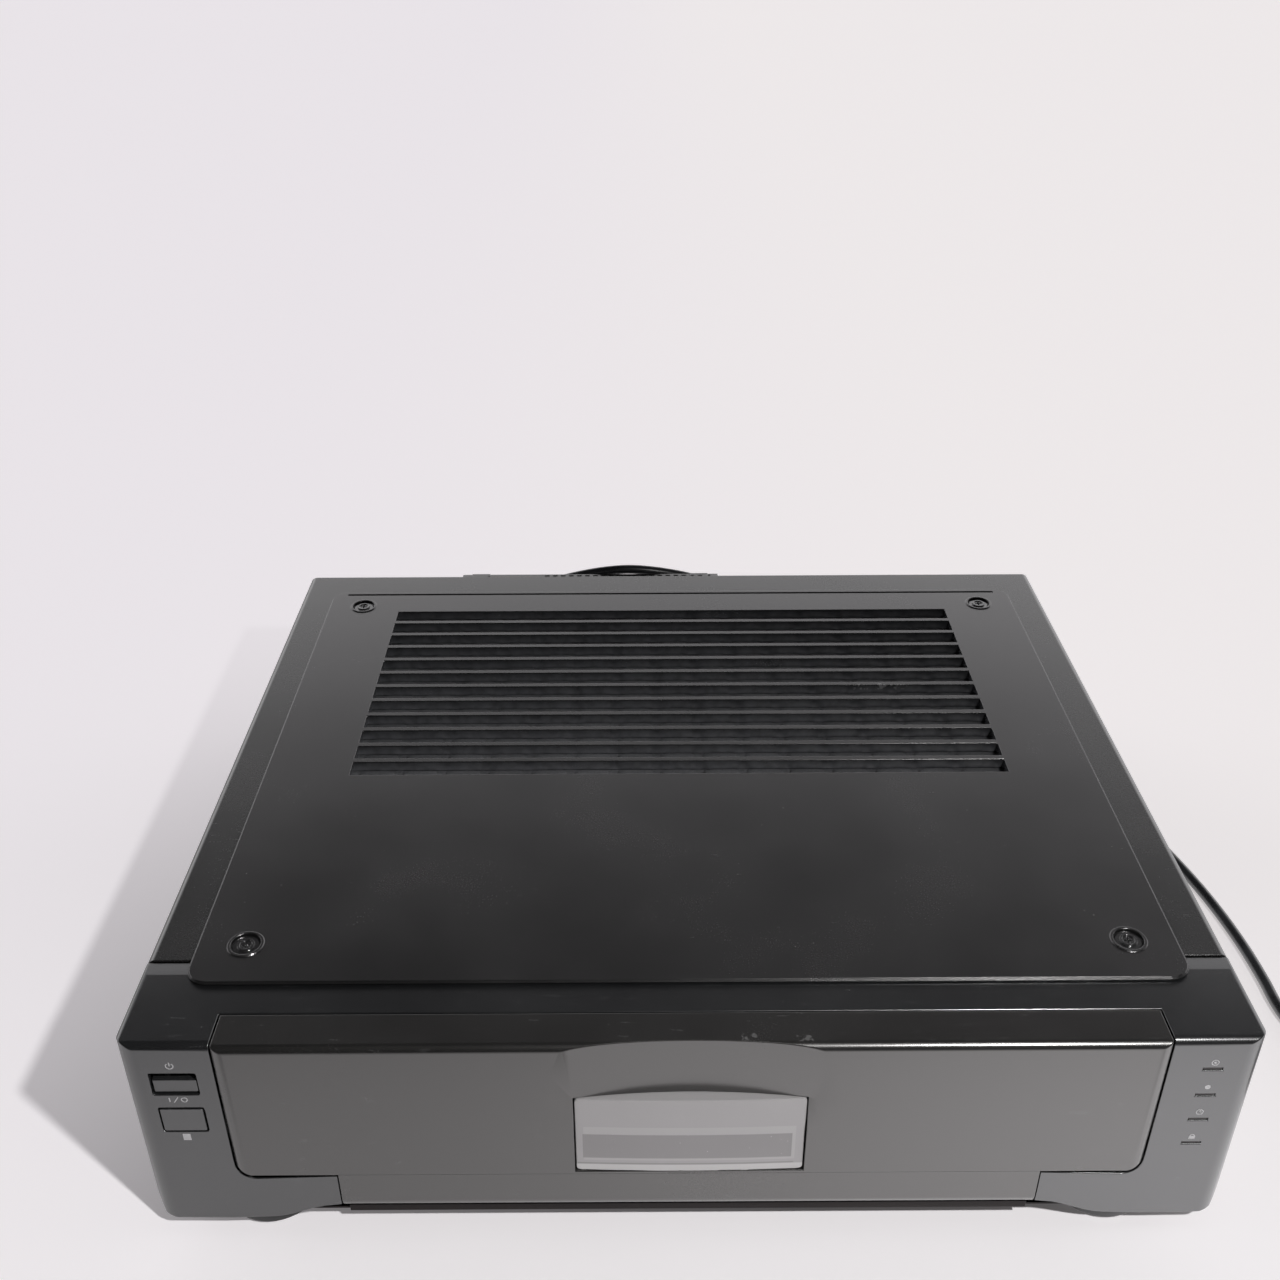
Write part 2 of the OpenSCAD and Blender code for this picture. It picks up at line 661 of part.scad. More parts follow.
module bottom_tray() color(zinc) in_case() {
    side = case_half - sheet - 0.4;
    difference() {
        union() {
            block([-side, seam_y + 1.4, tray_z], [side, 365.3, tray_z + sheet]);
            // narrower between the bezel's side walls
            block([-case_half + wall + 0.5, 3.6, tray_z],
                [case_half - wall - 0.5, seam_y + 1.4, tray_z + sheet]);
            // turned-up front lip under the tongue
            block([-137, 2.4, tray_z], [137, 3.6, tray_z + 3.8]);
            // side flanges inside the cover
            left_and_right() block([side - sheet, seam_y + 1.4, tray_z], [side, 365.3, -76]);
            // pressed-up seats for the boards
            for (x = [-196, -124, 124, 196]) for (y = [80, 200, 320]) bar_z(tray_z, -88, x, y, 3.4);
            for (x = [-60, 60]) bar_z(tray_z, -88, x, 320, 3.4);
            // posts under the tape deck
            for (x = [-102, 102]) for (y = [40, 150, 256]) bar_z(tray_z, deck_top - deck_t, x, y, 4);
            // ribs pressed across the floor
            for (y = [60, 170, 290]) block([-96, y - 3, tray_z], [96, y + 3, tray_z + 2.4]);
        }
        for (x = [-196, 196]) for (i = [0:9])
            block([x * 0.8 - 18, 110 + 16 * i, tray_z - 1], [x * 0.8 + 18, 114 + 16 * i, tray_z + 3]);
        for (y = [90, 300]) bar_x(-side - 1, side + 1, y, -84, 1.7);
    }
}

jack_x = [140, 156, 172, 188];
jack_z = [-46, -62];
aerial_x = [76, 104];
aerial_z = -70;

module rear_panel() color(steel_black) in_case() {
    back = 366.5;
    front = back - sheet;
    side = case_half - sheet - 0.4;
    difference() {
        union() {
            seen_from_front(front, back)
                polygon(round_rect(-side, tray_z, side, -sheet - 0.3, 3, 4));
            block([-side + 12, front - 8, -2.7], [side - 12, front, -sheet - 0.3]);
        }
        // opening behind the vent box
        block([-118, front - 1, -62], [22, back + 1, -14]);
        for (x = jack_x) for (z = jack_z) bar_y(front - 1, back + 1, x, z, 5.2);
        for (x = aerial_x) bar_y(front - 1, back + 1, x, aerial_z, 5.6);
        bar_y(front - 1, back + 1, gland_at[0], gland_at[2], 5.2);
        for (x = [-196, 60, 196]) bar_y(front - 1, back + 1, x, -9, 1.7);
        for (x = [-196, 196]) bar_y(front - 1, back + 1, x, -88, 1.7);
        for (i = [0:10]) block([-204 + 6 * i, front - 1, -46], [-201.4 + 6 * i, back + 1, -20]);
    }
}

module rear_vent_box() color(steel_black) in_case() {
    front = 366.5;
    skin = 1.4;
    difference() {
        union() {
            block([-125.8, front, -70], [29.7, vent_box_back, -6]);
            block([-120, front, -6], [-109, vent_box_back - 1, -5]);
            block([13, front, -6], [23.5, vent_box_back - 1, -5]);
        }
        block([-125.8 + skin, front - 1, -70 + skin], [29.7 - skin, vent_box_back - skin, -6 - skin]);
        // square vents along the top, slots down the back
        for (i = [0:26]) block([-110 + 4.9 * i, 375.5, -9], [-107.4 + 4.9 * i, 378.1, -4]);
        for (i = [0:21])
            block([-118 + 6.4 * i, vent_box_back - 4, -60], [-114.6 + 6.4 * i, vent_box_back + 1, -18]);
    }
}

module feet() color(black_plastic) in_case()
    for (x = [-foot_x, foot_x]) for (y = foot_y) translate([x, y, 0])
        rotate_extrude() polygon([
            [0, floor_z + pad_h], [15.6, floor_z + pad_h], [16.4, floor_z + 0.8], [19.8, floor_z + 0.8],
            [20.8, floor_z + 1.8], [foot_r, foot_top - 0.6], [foot_r - 0.6, foot_top],
            [18, foot_top], [18, tray_z], [0, tray_z]]);

module foot_pads() color("#3a3a3c") in_case()
    for (x = [-foot_x, foot_x]) for (y = foot_y) bar_z(floor_z, floor_z + pad_h, x, y, 15.2);

// an electrolytic capacitor standing on a board
module can(x, y, z, r, h) {
    bar_z(z, z + h, x, y, r);
}

module main_board() color(board_green) in_case() {
    under = -88;
    top = under + 1.6;
    seen_from_top(under, top) polygon([
        [112, 46], [206, 46], [206, 354], [-105, 354], [-105, 284], [112, 284]]);
    // chips, shields and cans
    for (i = [0:3]) block([128, 70 + 44 * i, top], [152, 86 + 44 * i, top + 3.2]);
    block([164, 90, top], [198, 150, top + 14]);
    block([160, 176, top], [196, 200, top + 3.2]);
    for (i = [0:4]) can(120 + 17 * i, 262, top, 4, 11);
    for (i = [0:5]) can(-90 + 22 * i, 300, top, 5, 12);
    block([-70, 326, top], [-20, 340, top + 4]);
}

module power_board() color("#7a5a32") in_case() {
    under = -88;
    top = under + 1.6;
    block([-206, 60, under], [-114, 354, top]);
    can(-180, 190, top, 12, 34);
    can(-148, 190, top, 9, 26);
    for (i = [0:3]) can(-196 + 22 * i, 150, top, 5, 14);
    // finned heat sink in line with the vent box
    for (i = [0:6]) block([-134, 226 + 7 * i, top + 4], [-118, 228 + 7 * i, -44]);
    block([-138, 224, top], [-134, 272, -44]);
    block([-134, 224, top], [-118, 272, top + 4]);
    // fuse between its clips
    bar_x(-200, -178, 340, top + 5, 2.6);
    for (x = [-200, -182]) block([x, 336, top], [x + 4, 344, top + 5]);
}

module transformer() color("#57534e") in_case() {
    base = -86.4;
    // laminated core with its two windings
    block([-200, 262, base], [-144, 314, base + 8]);
    block([-200, 262, base + 34], [-144, 314, base + 42]);
    block([-200, 262, base + 8], [-192, 314, base + 34]);
    block([-152, 262, base + 8], [-144, 314, base + 34]);
    block([-190, 256, base + 8.5], [-154, 320, base + 33.5]);
}

module tuner_box() color(zinc) in_case() {
    base = -86.4;
    block([62, 312, base], [118, 365.3, base + 26]);
    for (x = aerial_x) {
        bar_y(365.3, 376, x, aerial_z, 4.7);
        bar_y(365.3, 367.5, x, aerial_z, 5.2);
    }
}

module jack_block() color(black_plastic) in_case() {
    base = -86.4;
    difference() {
        union() {
            block([131, 346, base], [197, 365.3, -38]);
            for (x = jack_x) for (z = jack_z) bar_y(365.3, 373.5, x, z, 4.2);
        }
        for (x = jack_x) for (z = jack_z) bar_y(366, 374, x, z, 1.6);
    }
}

module strain_relief() color("#151516") in_case()
    translate(gland_at) rotate([-90, 0, 0]) difference() {
        union() {
            translate([0, 0, -3.6]) cylinder(r = 6.6, h = 2.4);
            translate([0, 0, -1.2]) cylinder(r = 5.1, h = 1.2);
            rotate_extrude() polygon([[0, 0], [7, 0], [7, 2], [5.6, 3], [4.1, gland_len], [0, gland_len]]);
        }
        // grooves that let the sleeve bend
        for (i = [0:4]) translate([0, 0, 6 + 4.2 * i]) difference() {
            cylinder(r = 8, h = 1.4);
            cylinder(r = 3.6, h = 1.4);
        }
    }

// the steel plate that carries the tape path
module deck_plate() color(zinc) in_case() {
    difference() {
        union() {
            block([-108, 30, deck_top - deck_t], [108, 286, deck_top]);
            for (s = [-1, 1]) bar_z(deck_top, -47.5, s * reel_gap / 2, reel_y, 2);
            bar_z(deck_top, -44, pinch_pivot[0], pinch_pivot[1], 2);
            for (g = [loading_at, reversing_at]) bar_z(-73.5, deck_top - deck_t, g[0], g[1], 1.5);
            for (s = [-1, 1]) block([98 * s - 3, 268, deck_top], [98 * s + 3, 280, -50]);
            // keeper ring that carries the two loading rings
            translate([0, drum_at[1], -73.2]) difference() {
                cylinder(r = keeper_r, h = 8);
                translate([0, 0, -1]) cylinder(r = 30.5, h = 10);
            }
            translate([0, drum_at[1], -73.2]) difference() {
                cylinder(r = 37.4, h = 1.2);
                translate([0, 0, -1]) cylinder(r = 30.5, h = 4);
            }
        }
        bar_z(-80, deck_top + 1, 0, drum_at[1], 20);
        bar_z(-80, deck_top + 1, capstan_at[0], capstan_at[1], 5);
        // curved tracks for the two tape guides
        for (s = [0, 1]) mirror([s, 0, 0])
            translate([0, drum_at[1], deck_top - 3]) rotate(-guide_start - 6)
                rotate_extrude(angle = guide_sweep + 12) translate([guide_r - 3.4, 0]) square([6.8, 6]);
    }
}

module at_drum() {
    translate([0, drum_at[1], deck_top]) rotate([0, -drum_lean, 0]) children();
}

module lower_drum() color("#c3c6c8") in_case() {
    difference() {
        union() {
            bar_z(deck_top, -56, 0, drum_at[1], drum_r + 1.5);
            at_drum() translate([0, 0, 3.4]) cylinder(r = drum_r - 0.2, h = 17.1);
            at_drum() translate([0, 0, 4]) cylinder(r = 3, h = 39.5);
            // motor under the deck
            bar_z(-78, deck_top - deck_t, 0, drum_at[1], 26);
            bar_z(-78, deck_top, 0, drum_at[1], 19.6);
        }
        // helical ledge that the tape's lower edge runs on
        at_drum() translate([0, 0, 14]) rotate([3.2, 0, 0]) difference() {
            cylinder(r = drum_r + 6, h = 12);
            translate([0, 0, -1]) cylinder(r = drum_r - 0.9, h = 14);
        }
    }
}

module upper_drum() color("#d6d8da") in_case()
    at_drum() translate([0, 0, 20.9]) difference() {
        union() {
            cylinder(r = drum_r, h = 16.5);
            translate([0, 0, 16.5]) cylinder(r = 17, h = 3.2);
        }
        translate([0, 0, -1]) cylinder(r = 3.05, h = 30);
        // head gaps in the lower edge and holes for the head screws
        for (a = [0, 90, 180, 270]) rotate(a) translate([drum_r - 2, -3, -1]) cube([4, 6, 3.4]);
        for (a = [45:90:315]) rotate(a) translate([24, 0, 10]) cylinder(r = 2.4, h = 8);
    }

module capstan_motor() color("#4a4a4d") in_case() {
    difference() {
        union() {
            // bearing housing that stands in the deck and the stator below it
            bar_z(-72, -59.2, capstan_at[0], capstan_at[1], 4.9);
            block([capstan_at[0] - 12, capstan_at[1] - 12, deck_top],
                [capstan_at[0] + 12, capstan_at[1] - 6, -61.8]);
            block([capstan_at[0] - 4, capstan_at[1] - 8, deck_top],
                [capstan_at[0] + 4, capstan_at[1], -61.8]);
        }
        bar_z(-90, -30, capstan_at[0], capstan_at[1], 2.06);
    }
}

module capstan() color("#caccce") in_case() {
    bar_z(-84, -30, capstan_at[0], capstan_at[1], 2);
    translate([capstan_at[0], capstan_at[1], -84]) difference() {
        cylinder(r = 25, h = 9);
        translate([0, 0, 3]) difference() {
            cylinder(r = 21, h = 8);
            translate([0, 0, -1]) cylinder(r = 6, h = 10);
        }
    }
}

module reel(s) {
    translate([s * reel_gap / 2, reel_y, 0]) difference() {
        union() {
            bar_z(-63.9, -61, 0, 0, 26);
            bar_z(-61, -53, 0, 0, 9);
            bar_z(-53, -45.5, 0, 0, 4.4);
            for (a = [0, 120, 240]) rotate(a) block([3.6, -0.8, -53], [6.6, 0.8, -46.5]);
        }
        bar_z(-70, -40, 0, 0, 2.05);
        // ring of light gaps for the reel sensor
        for (a = [0:45:315]) rotate(a) block([14, -2, -66], [21, 2, -60]);
    }
}

module supply_reel() color(black_plastic) in_case() reel(-1);
module takeup_reel() color(black_plastic) in_case() reel(1);

roller_at = pinch_pivot + pinch_reach * [cos(pinch_start), sin(pinch_start)];

module pinch_arm() color(zinc) in_case() difference() {
    union() {
        seen_from_top(-61, -59) hull() {
            translate(pinch_pivot) circle(r = 4.6);
            translate(roller_at) circle(r = 4);
        }
        bar_z(-63.5, -50, pinch_pivot[0], pinch_pivot[1], 4.6);
        bar_z(-61, -38.5, roller_at[0], roller_at[1], 1.5);
    }
    bar_z(-70, -40, pinch_pivot[0], pinch_pivot[1], 2.05);
}

module pinch_roller() color("#1d1d1f") in_case()
    translate([roller_at[0], roller_at[1], 0]) difference() {
        union() {
            bar_z(-58.5, -40, 0, 0, roller_r);
            bar_z(-58.7, -39.6, 0, 0, 4);
        }
        bar_z(-70, -30, 0, 0, 1.55);
    }

// outline of a gear with straight-sided teeth, one tooth's middle at angle phase
function gear_points(teeth, phase) = let (
        pitch_r = tooth_m * teeth / 2, step = 360 / teeth,
        tip = pitch_r + 0.75 * tooth_m, root = pitch_r - 1.05 * tooth_m,
        tip_w = 0.13 * step, root_w = 0.29 * step)
    [for (i = [0:teeth - 1]) let (a = phase + step * i)
        for (p = [[root, -root_w], [tip, -tip_w], [tip, tip_w], [root, root_w]])
            [p[0] * cos(a + p[1]), p[0] * sin(a + p[1])]];

module toothed(teeth, phase) {
    polygon(gear_points(teeth, phase));
}

// a loading ring with its guide post; side is -1 for supply and 1 for take-up
module guide_ring(ring_z, phase, side) {
    post_a = side > 0 ? -guide_start : 180 + guide_start;
    post = drum_at + guide_r * [cos(post_a), sin(post_a)];
    translate([0, drum_at[1], ring_z]) {
        difference() {
            linear_extrude(ring_t) toothed(ring_teeth, phase);
            translate([0, 0, -1]) cylinder(r = keeper_r + ring_fit, h = 4, $fn = 96);
        }
        rotate(post_a) block([38, -5, 0], [50, 5, ring_t]);
    }
    bar_z(ring_z + ring_t / 2, -28, post[0], post[1], 2);
    bar_z(-61, -57, post[0], post[1], 5);
    bar_z(-57, -36, post[0], post[1], 3.1);
    bar_z(-36, -34.5, post[0], post[1], 4.4);
}

module supply_guide() color("#bfc2c4") in_case() guide_ring(upper_ring_z, upper_ring_phase, -1);
module takeup_guide() color("#bfc2c4") in_case() guide_ring(lower_ring_z, loading_angle, 1);

module small_gear(at, phase, z0, z1) {
    translate([at[0], at[1], z0]) difference() {
        linear_extrude(z1 - z0) toothed(gear_teeth, phase);
        translate([0, 0, -1]) cylinder(r = 1.55, h = z1 - z0 + 2);
    }
}

module loading_gear() color("#e8e4d8") in_case() small_gear(loading_at, loading_phase, -73.2, -68.8);
module reversing_gear() color("#e8e4d8") in_case() small_gear(reversing_at, reversing_phase, -69.8, -66.6);

module loading_motor() color("#9a9da0") in_case() {
    bar_x(44, 74, 272, -53, 9);
    bar_x(40, 44, 272, -53, 4);
    bar_x(22, 40, 272, -53, 1);
    bar_x(24, 36, 272, -53, 3);
    block([46, 266, deck_top], [72, 278, -58]);
}

module tape_heads() color("#a9acae") in_case() {
    // full-erase head on the left, sound and control head on the right
    block([-79, 204, deck_top], [-67, 216, -60]);
    block([-77, 205, -60], [-69, 213, -40]);
    block([62, 210, deck_top], [76, 224, -60]);
    block([64, 212, -60], [73, 221, -38]);
    bar_z(deck_top, -34, 80, 228, 2);
    bar_z(deck_top, -34, -82, 196, 2);
}

// how far the studs of the lift and of the basket are from the front
lift_studs = [60, 160];
basket_studs = [36, 106];
stud_r = 1.5;
stud_fit = 0.1;

module carriage_frame() color(zinc) in_case() difference() {
    bar_top = -2.4;
    union() {
        left_and_right() {
            seen_from_side(rail_half, rail_half + 1.5) polygon([
                [30, deck_top], [200, deck_top], [200, -22], [180, -12], [132, -12],
                [128, bar_top], [72, bar_top], [68, -12], [34, -12], [30, -20]]);
            block([rail_half, 34, deck_top], [rail_half + 6, 190, deck_top + 1.2]);
        }
        block([-rail_half - 1.5, 74, bar_top - 1], [rail_half + 1.5, 126, bar_top]);
    }
    // lightening holes, and upright slots that guide the lift's studs
    for (y = [44, 98, 138]) bar_x(-110, 110, y, -50, 8);
    for (y = lift_studs)
        block([-110, y - stud_r - stud_fit, -16 - lift_drop - stud_r - stud_fit],
            [110, y + stud_r + stud_fit, -16 + stud_r + stud_fit]);
    block([-60, 86, -7], [60, 114, 0]);
}

// side plates 1.2 mm thick, hung in the rails by studs
module cassette_lift() color("#8d9092") in_case() {
    inner = 96.9;
    outer = inner + sheet;
    left_and_right() difference() {
        seen_from_side(inner, outer) polygon([
            [26, -38], [189, -38], [189, -14], [184, -10], [32, -10], [26, -16]]);
        // long slot that guides the basket's studs
        block([inner - 1, basket_studs[0] - stud_r - stud_fit, -30 - stud_r - stud_fit],
            [outer + 1, basket_studs[1] + basket_travel + stud_r + stud_fit, -30 + stud_r + stud_fit]);
        block([inner - 1, 84, -24], [outer + 1, 140, -16]);
    }
    left_and_right() for (y = lift_studs) bar_x(outer - 0.2, rail_half + 1.5, y, -16, stud_r);
    block([-outer, 26, -38], [outer, 30, -36.4]);
}

module cassette_basket() color("#6f7274") in_case() {
    inner = 94.8;
    outer = 96.1;
    top = slot_top - 1;
    left_and_right() difference() {
        union() {
            // walls are lower in front, where the flap swings up
            seen_from_side(inner, outer) polygon([
                [basket_front, -35], [basket_back, -35], [basket_back, top], [53, top],
                [50, -10.6], [basket_front, -10.6]]);
            block([84, basket_front, -35], [inner + 0.4, basket_back - 12, -34]);
            block([90, basket_back - 13, -35], [inner + 0.4, basket_back, -34]);
            block([90, basket_back - 2, -35], [inner + 0.4, basket_back, -24]);
            for (y = basket_studs) bar_x(inner + 0.4, 98, y, -30, stud_r);
        }
        block([inner - 1, 58, -26], [outer + 1, 92, -14]);
    }
    difference() {
        block([-outer, 56, top], [outer, 102, slot_top]);
        for (s = [-1, 1]) block([s * 46 - 22, 64, -8], [s * 46 + 22, 94, -5]);
    }
}

function unit(v) = v / norm(v);

// a point on the smooth curve through four route points, between p1 and p2
function curve(p0, p1, p2, p3, u) = 0.5 * (2 * p1 + (p2 - p0) * u
    + (2 * p0 - 5 * p1 + 4 * p2 - p3) * u * u + (3 * p1 - 3 * p2 + p3 - p0) * u * u * u);

// the route with each stretch cut in two
function smooth_route(p) = let (n = len(p)) concat(
    [for (i = [0:n - 2]) for (u = [0, 0.5])
        curve(i == 0 ? 2 * p[0] - p[1] : p[i - 1], p[i], p[i + 1],
            i == n - 2 ? 2 * p[n - 1] - p[n - 2] : p[i + 2], u)],
    [p[n - 1]]);

// direction of the line at each point
function tangents(p, first, last) = let (n = len(p))
    [for (i = [0:n - 1]) i == 0 ? first : i == n - 1 ? last : unit(p[i + 1] - p[i - 1])];

// a side direction carried along the line without twist
function carried(t, start) =
    [for (i = 0, s = start; i < len(t); i = i + 1, s = i < len(t) ? unit(s - t[i] * (s * t[i])) : s) s];

// one closed tube along a line of points
module tube(p, r, sides, first, last, start) {
    t = tangents(p, first, last);
    side = carried(t, start);
    n = len(p);
    points = [for (i = [0:n - 1]) let (a = unit(side[i] - t[i] * (side[i] * t[i])), b = cross(t[i], a))
        for (k = [0:sides - 1]) let (w = 360 * (k + 0.5) / sides) p[i] + r * (cos(w) * a + sin(w) * b)];
    faces = concat(
        [[for (k = [0:sides - 1]) k]],
        [[for (k = [sides - 1:-1:0]) (n - 1) * sides + k]],
        [for (i = [0:n - 2]) for (k = [0:sides - 1]) let (j = (k + 1) % sides)
            for (f = [[i * sides + k, (i + 1) * sides + k, i * sides + j],
                [i * sides + j, (i + 1) * sides + k, (i + 1) * sides + j]]) f]);
    polyhedron(points, faces, convexity = 10);
}

module cord() color("#141416") in_case()
    tube(smooth_route(route), cord_r, 8, [0, 1, 0], [0, -1, 0], [0, 0, 1]);

// the coil spirals in on the floor, climbs half-way round, and spirals out on top
coil_half = coil_turns / 2;
coil_exit = 12;
function coil_radius(u) = coil_r - coil_pitch * (u < coil_half ? u : coil_turns - u);
function coil_climb(u) = ease(min(1, max(0, (u - coil_half) * 2 + 0.5)));
function coil_point(u) = let (a = coil_start + 360 * u) [
    coil_at[0] + coil_radius(u) * cos(a), coil_at[1] + coil_radius(u) * sin(a),
    cord_floor + coil_layer * coil_climb(u)];
coil_line = concat(
    [coil_point(0) + [0, cord_d, 0]],
    [for (i = [0:24 * coil_turns]) coil_point(i / 24)],
    [coil_point(coil_turns) + [0, -coil_exit / 2, 0], coil_point(coil_turns) + [0, -coil_exit, 0]]);

module cord_coil() color("#141416") in_case()
    tube(coil_line, cord_r, 6, [0, -1, 0], [0, -1, 0], [0, 0, 1]);

// least gap between turns, for points more than half a turn apart
coil_gap = min([for (i = [1:24 * coil_turns + 1]) for (j = [i + 12:1:24 * coil_turns + 1])
    norm(coil_line[i] - coil_line[j])]) - cord_d;
echo(coil_gap = coil_gap);

module cord_tie() color("#1a1a1c") in_case() {
    outer = coil_r + cord_r + 1.4;
    inner = coil_r - coil_half * coil_pitch - cord_r - 1.4;
    x0 = coil_at[0] + inner;
    x1 = coil_at[0] + outer;
    top = floor_z + cord_d + coil_layer + 0.8;
    difference() {
        seen_from_front(coil_at[1] - 2.5, coil_at[1] + 2.5)
            polygon(round_rect(x0, floor_z, x1, top, 3, 4));
        seen_from_front(coil_at[1] - 4, coil_at[1] + 4)
            polygon(round_rect(x0 + 1, floor_z + 0.3, x1 - 1, top - 0.5, 2.2, 4));
    }
}

plug_z = cord_floor + coil_layer;
plug_x = coil_at[0] - coil_r;
plug_y = coil_at[1] - coil_exit;

// two flat pins, a grip waisted for the fingers, and a bend sleeve
module plug() {
    high = plug_z - floor_z;
    color("#141416") in_case() {
        translate([plug_x, plug_y, plug_z]) rotate([90, 0, 0]) rotate_extrude()
            polygon([[0, 0], [3.2, 0], [3.5, 8], [4.6, 26], [4.6, 28], [0, 28]]);
        translate([plug_x, plug_y, plug_z]) seen_from_top(-high, high)
            polygon(both_sides([
                [6, -26], [9, -29], [10.4, -36], [11, -42], [12.4, -47], [12.4, -50]]));
    }
    color(zinc) in_case() for (s = [-1, 1])
        block([plug_x + 6.35 * s - 0.8, plug_y - 66, plug_z - 3.2],
            [plug_x + 6.35 * s + 0.8, plug_y - 49, plug_z + 3.2]);
}

front_bezel();
inner_fascia();
top_cover();
louvre_panel();
vent_sheet();
top_screws();
cover_screws();
bottom_tray();
rear_panel();
rear_vent_box();
feet();
foot_pads();
indicator_lights();
front_board();
display_module();
display_lens();
main_board();
power_board();
transformer();
tuner_box();
jack_block();
strain_relief();
deck_plate();
lower_drum();
capstan_motor();
tape_heads();
loading_motor();
carriage_frame();
door_panel();
door_window();
window_mask();
window_filter();
power_button();
open_button();
cassette_flap();
play_button();
stop_button();
rewind_button();
forward_button();
pause_button();
record_button();
channel_rocker();
jog_dial();
shuttle_ring();
upper_drum();
capstan();
supply_reel();
takeup_reel();
pinch_arm();
pinch_roller();
supply_guide();
takeup_guide();
loading_gear();
reversing_gear();
cassette_lift();
cassette_basket();
cord();
cord_coil();
cord_tie();
plug();
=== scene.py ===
"""Looks of a front-loading video cassette recorder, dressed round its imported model.

Lengths in the classes are millimetres, measured as on the bench: x from the middle,
y backwards from the face of the bezel, z up from the top of the cover.
"""
import json
import logging
import math
from dataclasses import dataclass
from enum import Enum
from typing import Any, Mapping, Sequence, Union

import bmesh
import bpy
import numpy as np
from bpy.types import Material, Mesh, Node, NodeSocket, Object, World
from mathutils import Matrix, Vector

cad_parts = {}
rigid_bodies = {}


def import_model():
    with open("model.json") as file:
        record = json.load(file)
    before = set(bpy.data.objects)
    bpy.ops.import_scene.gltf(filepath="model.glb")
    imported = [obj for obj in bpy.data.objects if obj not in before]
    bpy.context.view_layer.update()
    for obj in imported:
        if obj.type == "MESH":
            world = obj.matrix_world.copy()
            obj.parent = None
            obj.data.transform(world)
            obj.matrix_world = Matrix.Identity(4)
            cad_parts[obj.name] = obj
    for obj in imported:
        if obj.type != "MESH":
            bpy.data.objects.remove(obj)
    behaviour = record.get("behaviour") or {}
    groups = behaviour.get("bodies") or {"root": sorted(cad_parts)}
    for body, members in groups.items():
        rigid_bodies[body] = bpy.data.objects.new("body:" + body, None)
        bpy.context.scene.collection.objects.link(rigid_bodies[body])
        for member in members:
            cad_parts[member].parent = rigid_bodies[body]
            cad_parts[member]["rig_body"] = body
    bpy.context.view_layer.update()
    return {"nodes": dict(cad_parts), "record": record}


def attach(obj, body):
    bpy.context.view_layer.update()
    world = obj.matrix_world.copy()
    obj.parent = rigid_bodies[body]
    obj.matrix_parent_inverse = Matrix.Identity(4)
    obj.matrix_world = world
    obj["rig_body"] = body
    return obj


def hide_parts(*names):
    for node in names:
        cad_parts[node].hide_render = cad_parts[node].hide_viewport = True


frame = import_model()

MM = 0.001
MIDDLE_Y = 190.0
COVER_H = 106.0
FLOOR_Z = -COVER_H
CASING = "casing"
DOUBLES = 2e-6
LEVEL_SLACK = 1e-5
FLAT_ANGLE = math.radians(0.6)
Colour = tuple[float, float, float]
Place = tuple[float, float, float]
Span = tuple[float, float]
Quad = tuple[float, float, float, float]
Points = np.ndarray
Number = Union[float, "Wire"]
UNLIT: Colour = (0.0, 0.0, 0.0)
log = logging.getLogger("recorder")


def in_case(points: Points) -> Points:
    """Moves bench millimetres into the frame.

    Args:
        points: Points in millimetres, with x, y and z in the last axis.

    Returns:
        The same points in metres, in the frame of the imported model.
    """
    return (np.asarray(points, float) + (0.0, -MIDDLE_Y, COVER_H)) * MM


# Shader maths.


class Wire:
    """A number that a shader works out, for use in plain arithmetic."""

    def __init__(self, graph: "Graph", socket: NodeSocket) -> None:
        """Keeps the graph and the output socket that the number comes from."""
        self.graph = graph
        self.socket = socket

    def _with(self, operation: str, first: Number, second: Number) -> "Wire":
        """Adds one Math node and returns its result."""
        node = self.graph.node("Math", {0: first, 1: second}, operation=operation)
        return Wire(self.graph, node.outputs[0])

    def __add__(self, other: Number) -> "Wire":
        """Sum."""
        return self._with("ADD", self, other)

    __radd__ = __add__

    def __sub__(self, other: Number) -> "Wire":
        """Difference."""
        return self._with("SUBTRACT", self, other)

    def __rsub__(self, other: Number) -> "Wire":
        """Difference, taken from a plain number."""
        return self._with("SUBTRACT", other, self)

    def __mul__(self, other: Number) -> "Wire":
        """Product."""
        return self._with("MULTIPLY", self, other)

    __rmul__ = __mul__

    def __truediv__(self, other: Number) -> "Wire":
        """Quotient."""
        return self._with("DIVIDE", self, other)

    def __pow__(self, other: Number) -> "Wire":
        """Power."""
        return self._with("POWER", self, other)

    def over(self, low: float, high: float) -> "Wire":
        """Goes smoothly from 0 to 1 as the number climbs from low to high.

        Args:
            low: Value that gives 0.
            high: Value that gives 1.

        Returns:
            The step as a new number.
        """
        sockets = {"Value": self, "From Min": low, "From Max": high}
        node = self.graph.node("MapRange", sockets, interpolation_type="SMOOTHSTEP")
        return Wire(self.graph, node.outputs[0])

    def within(self, low: float, high: float, soft: float) -> "Wire":
        """Is 1 between two values and 0 outside them, with soft ends.

        Args:
            low: Lower end.
            high: Upper end.
            soft: Half the width of each soft end.

        Returns:
            The band as a new number.
        """
        return self.over(low - soft, low + soft) * (1.0 - self.over(high - soft, high + soft))


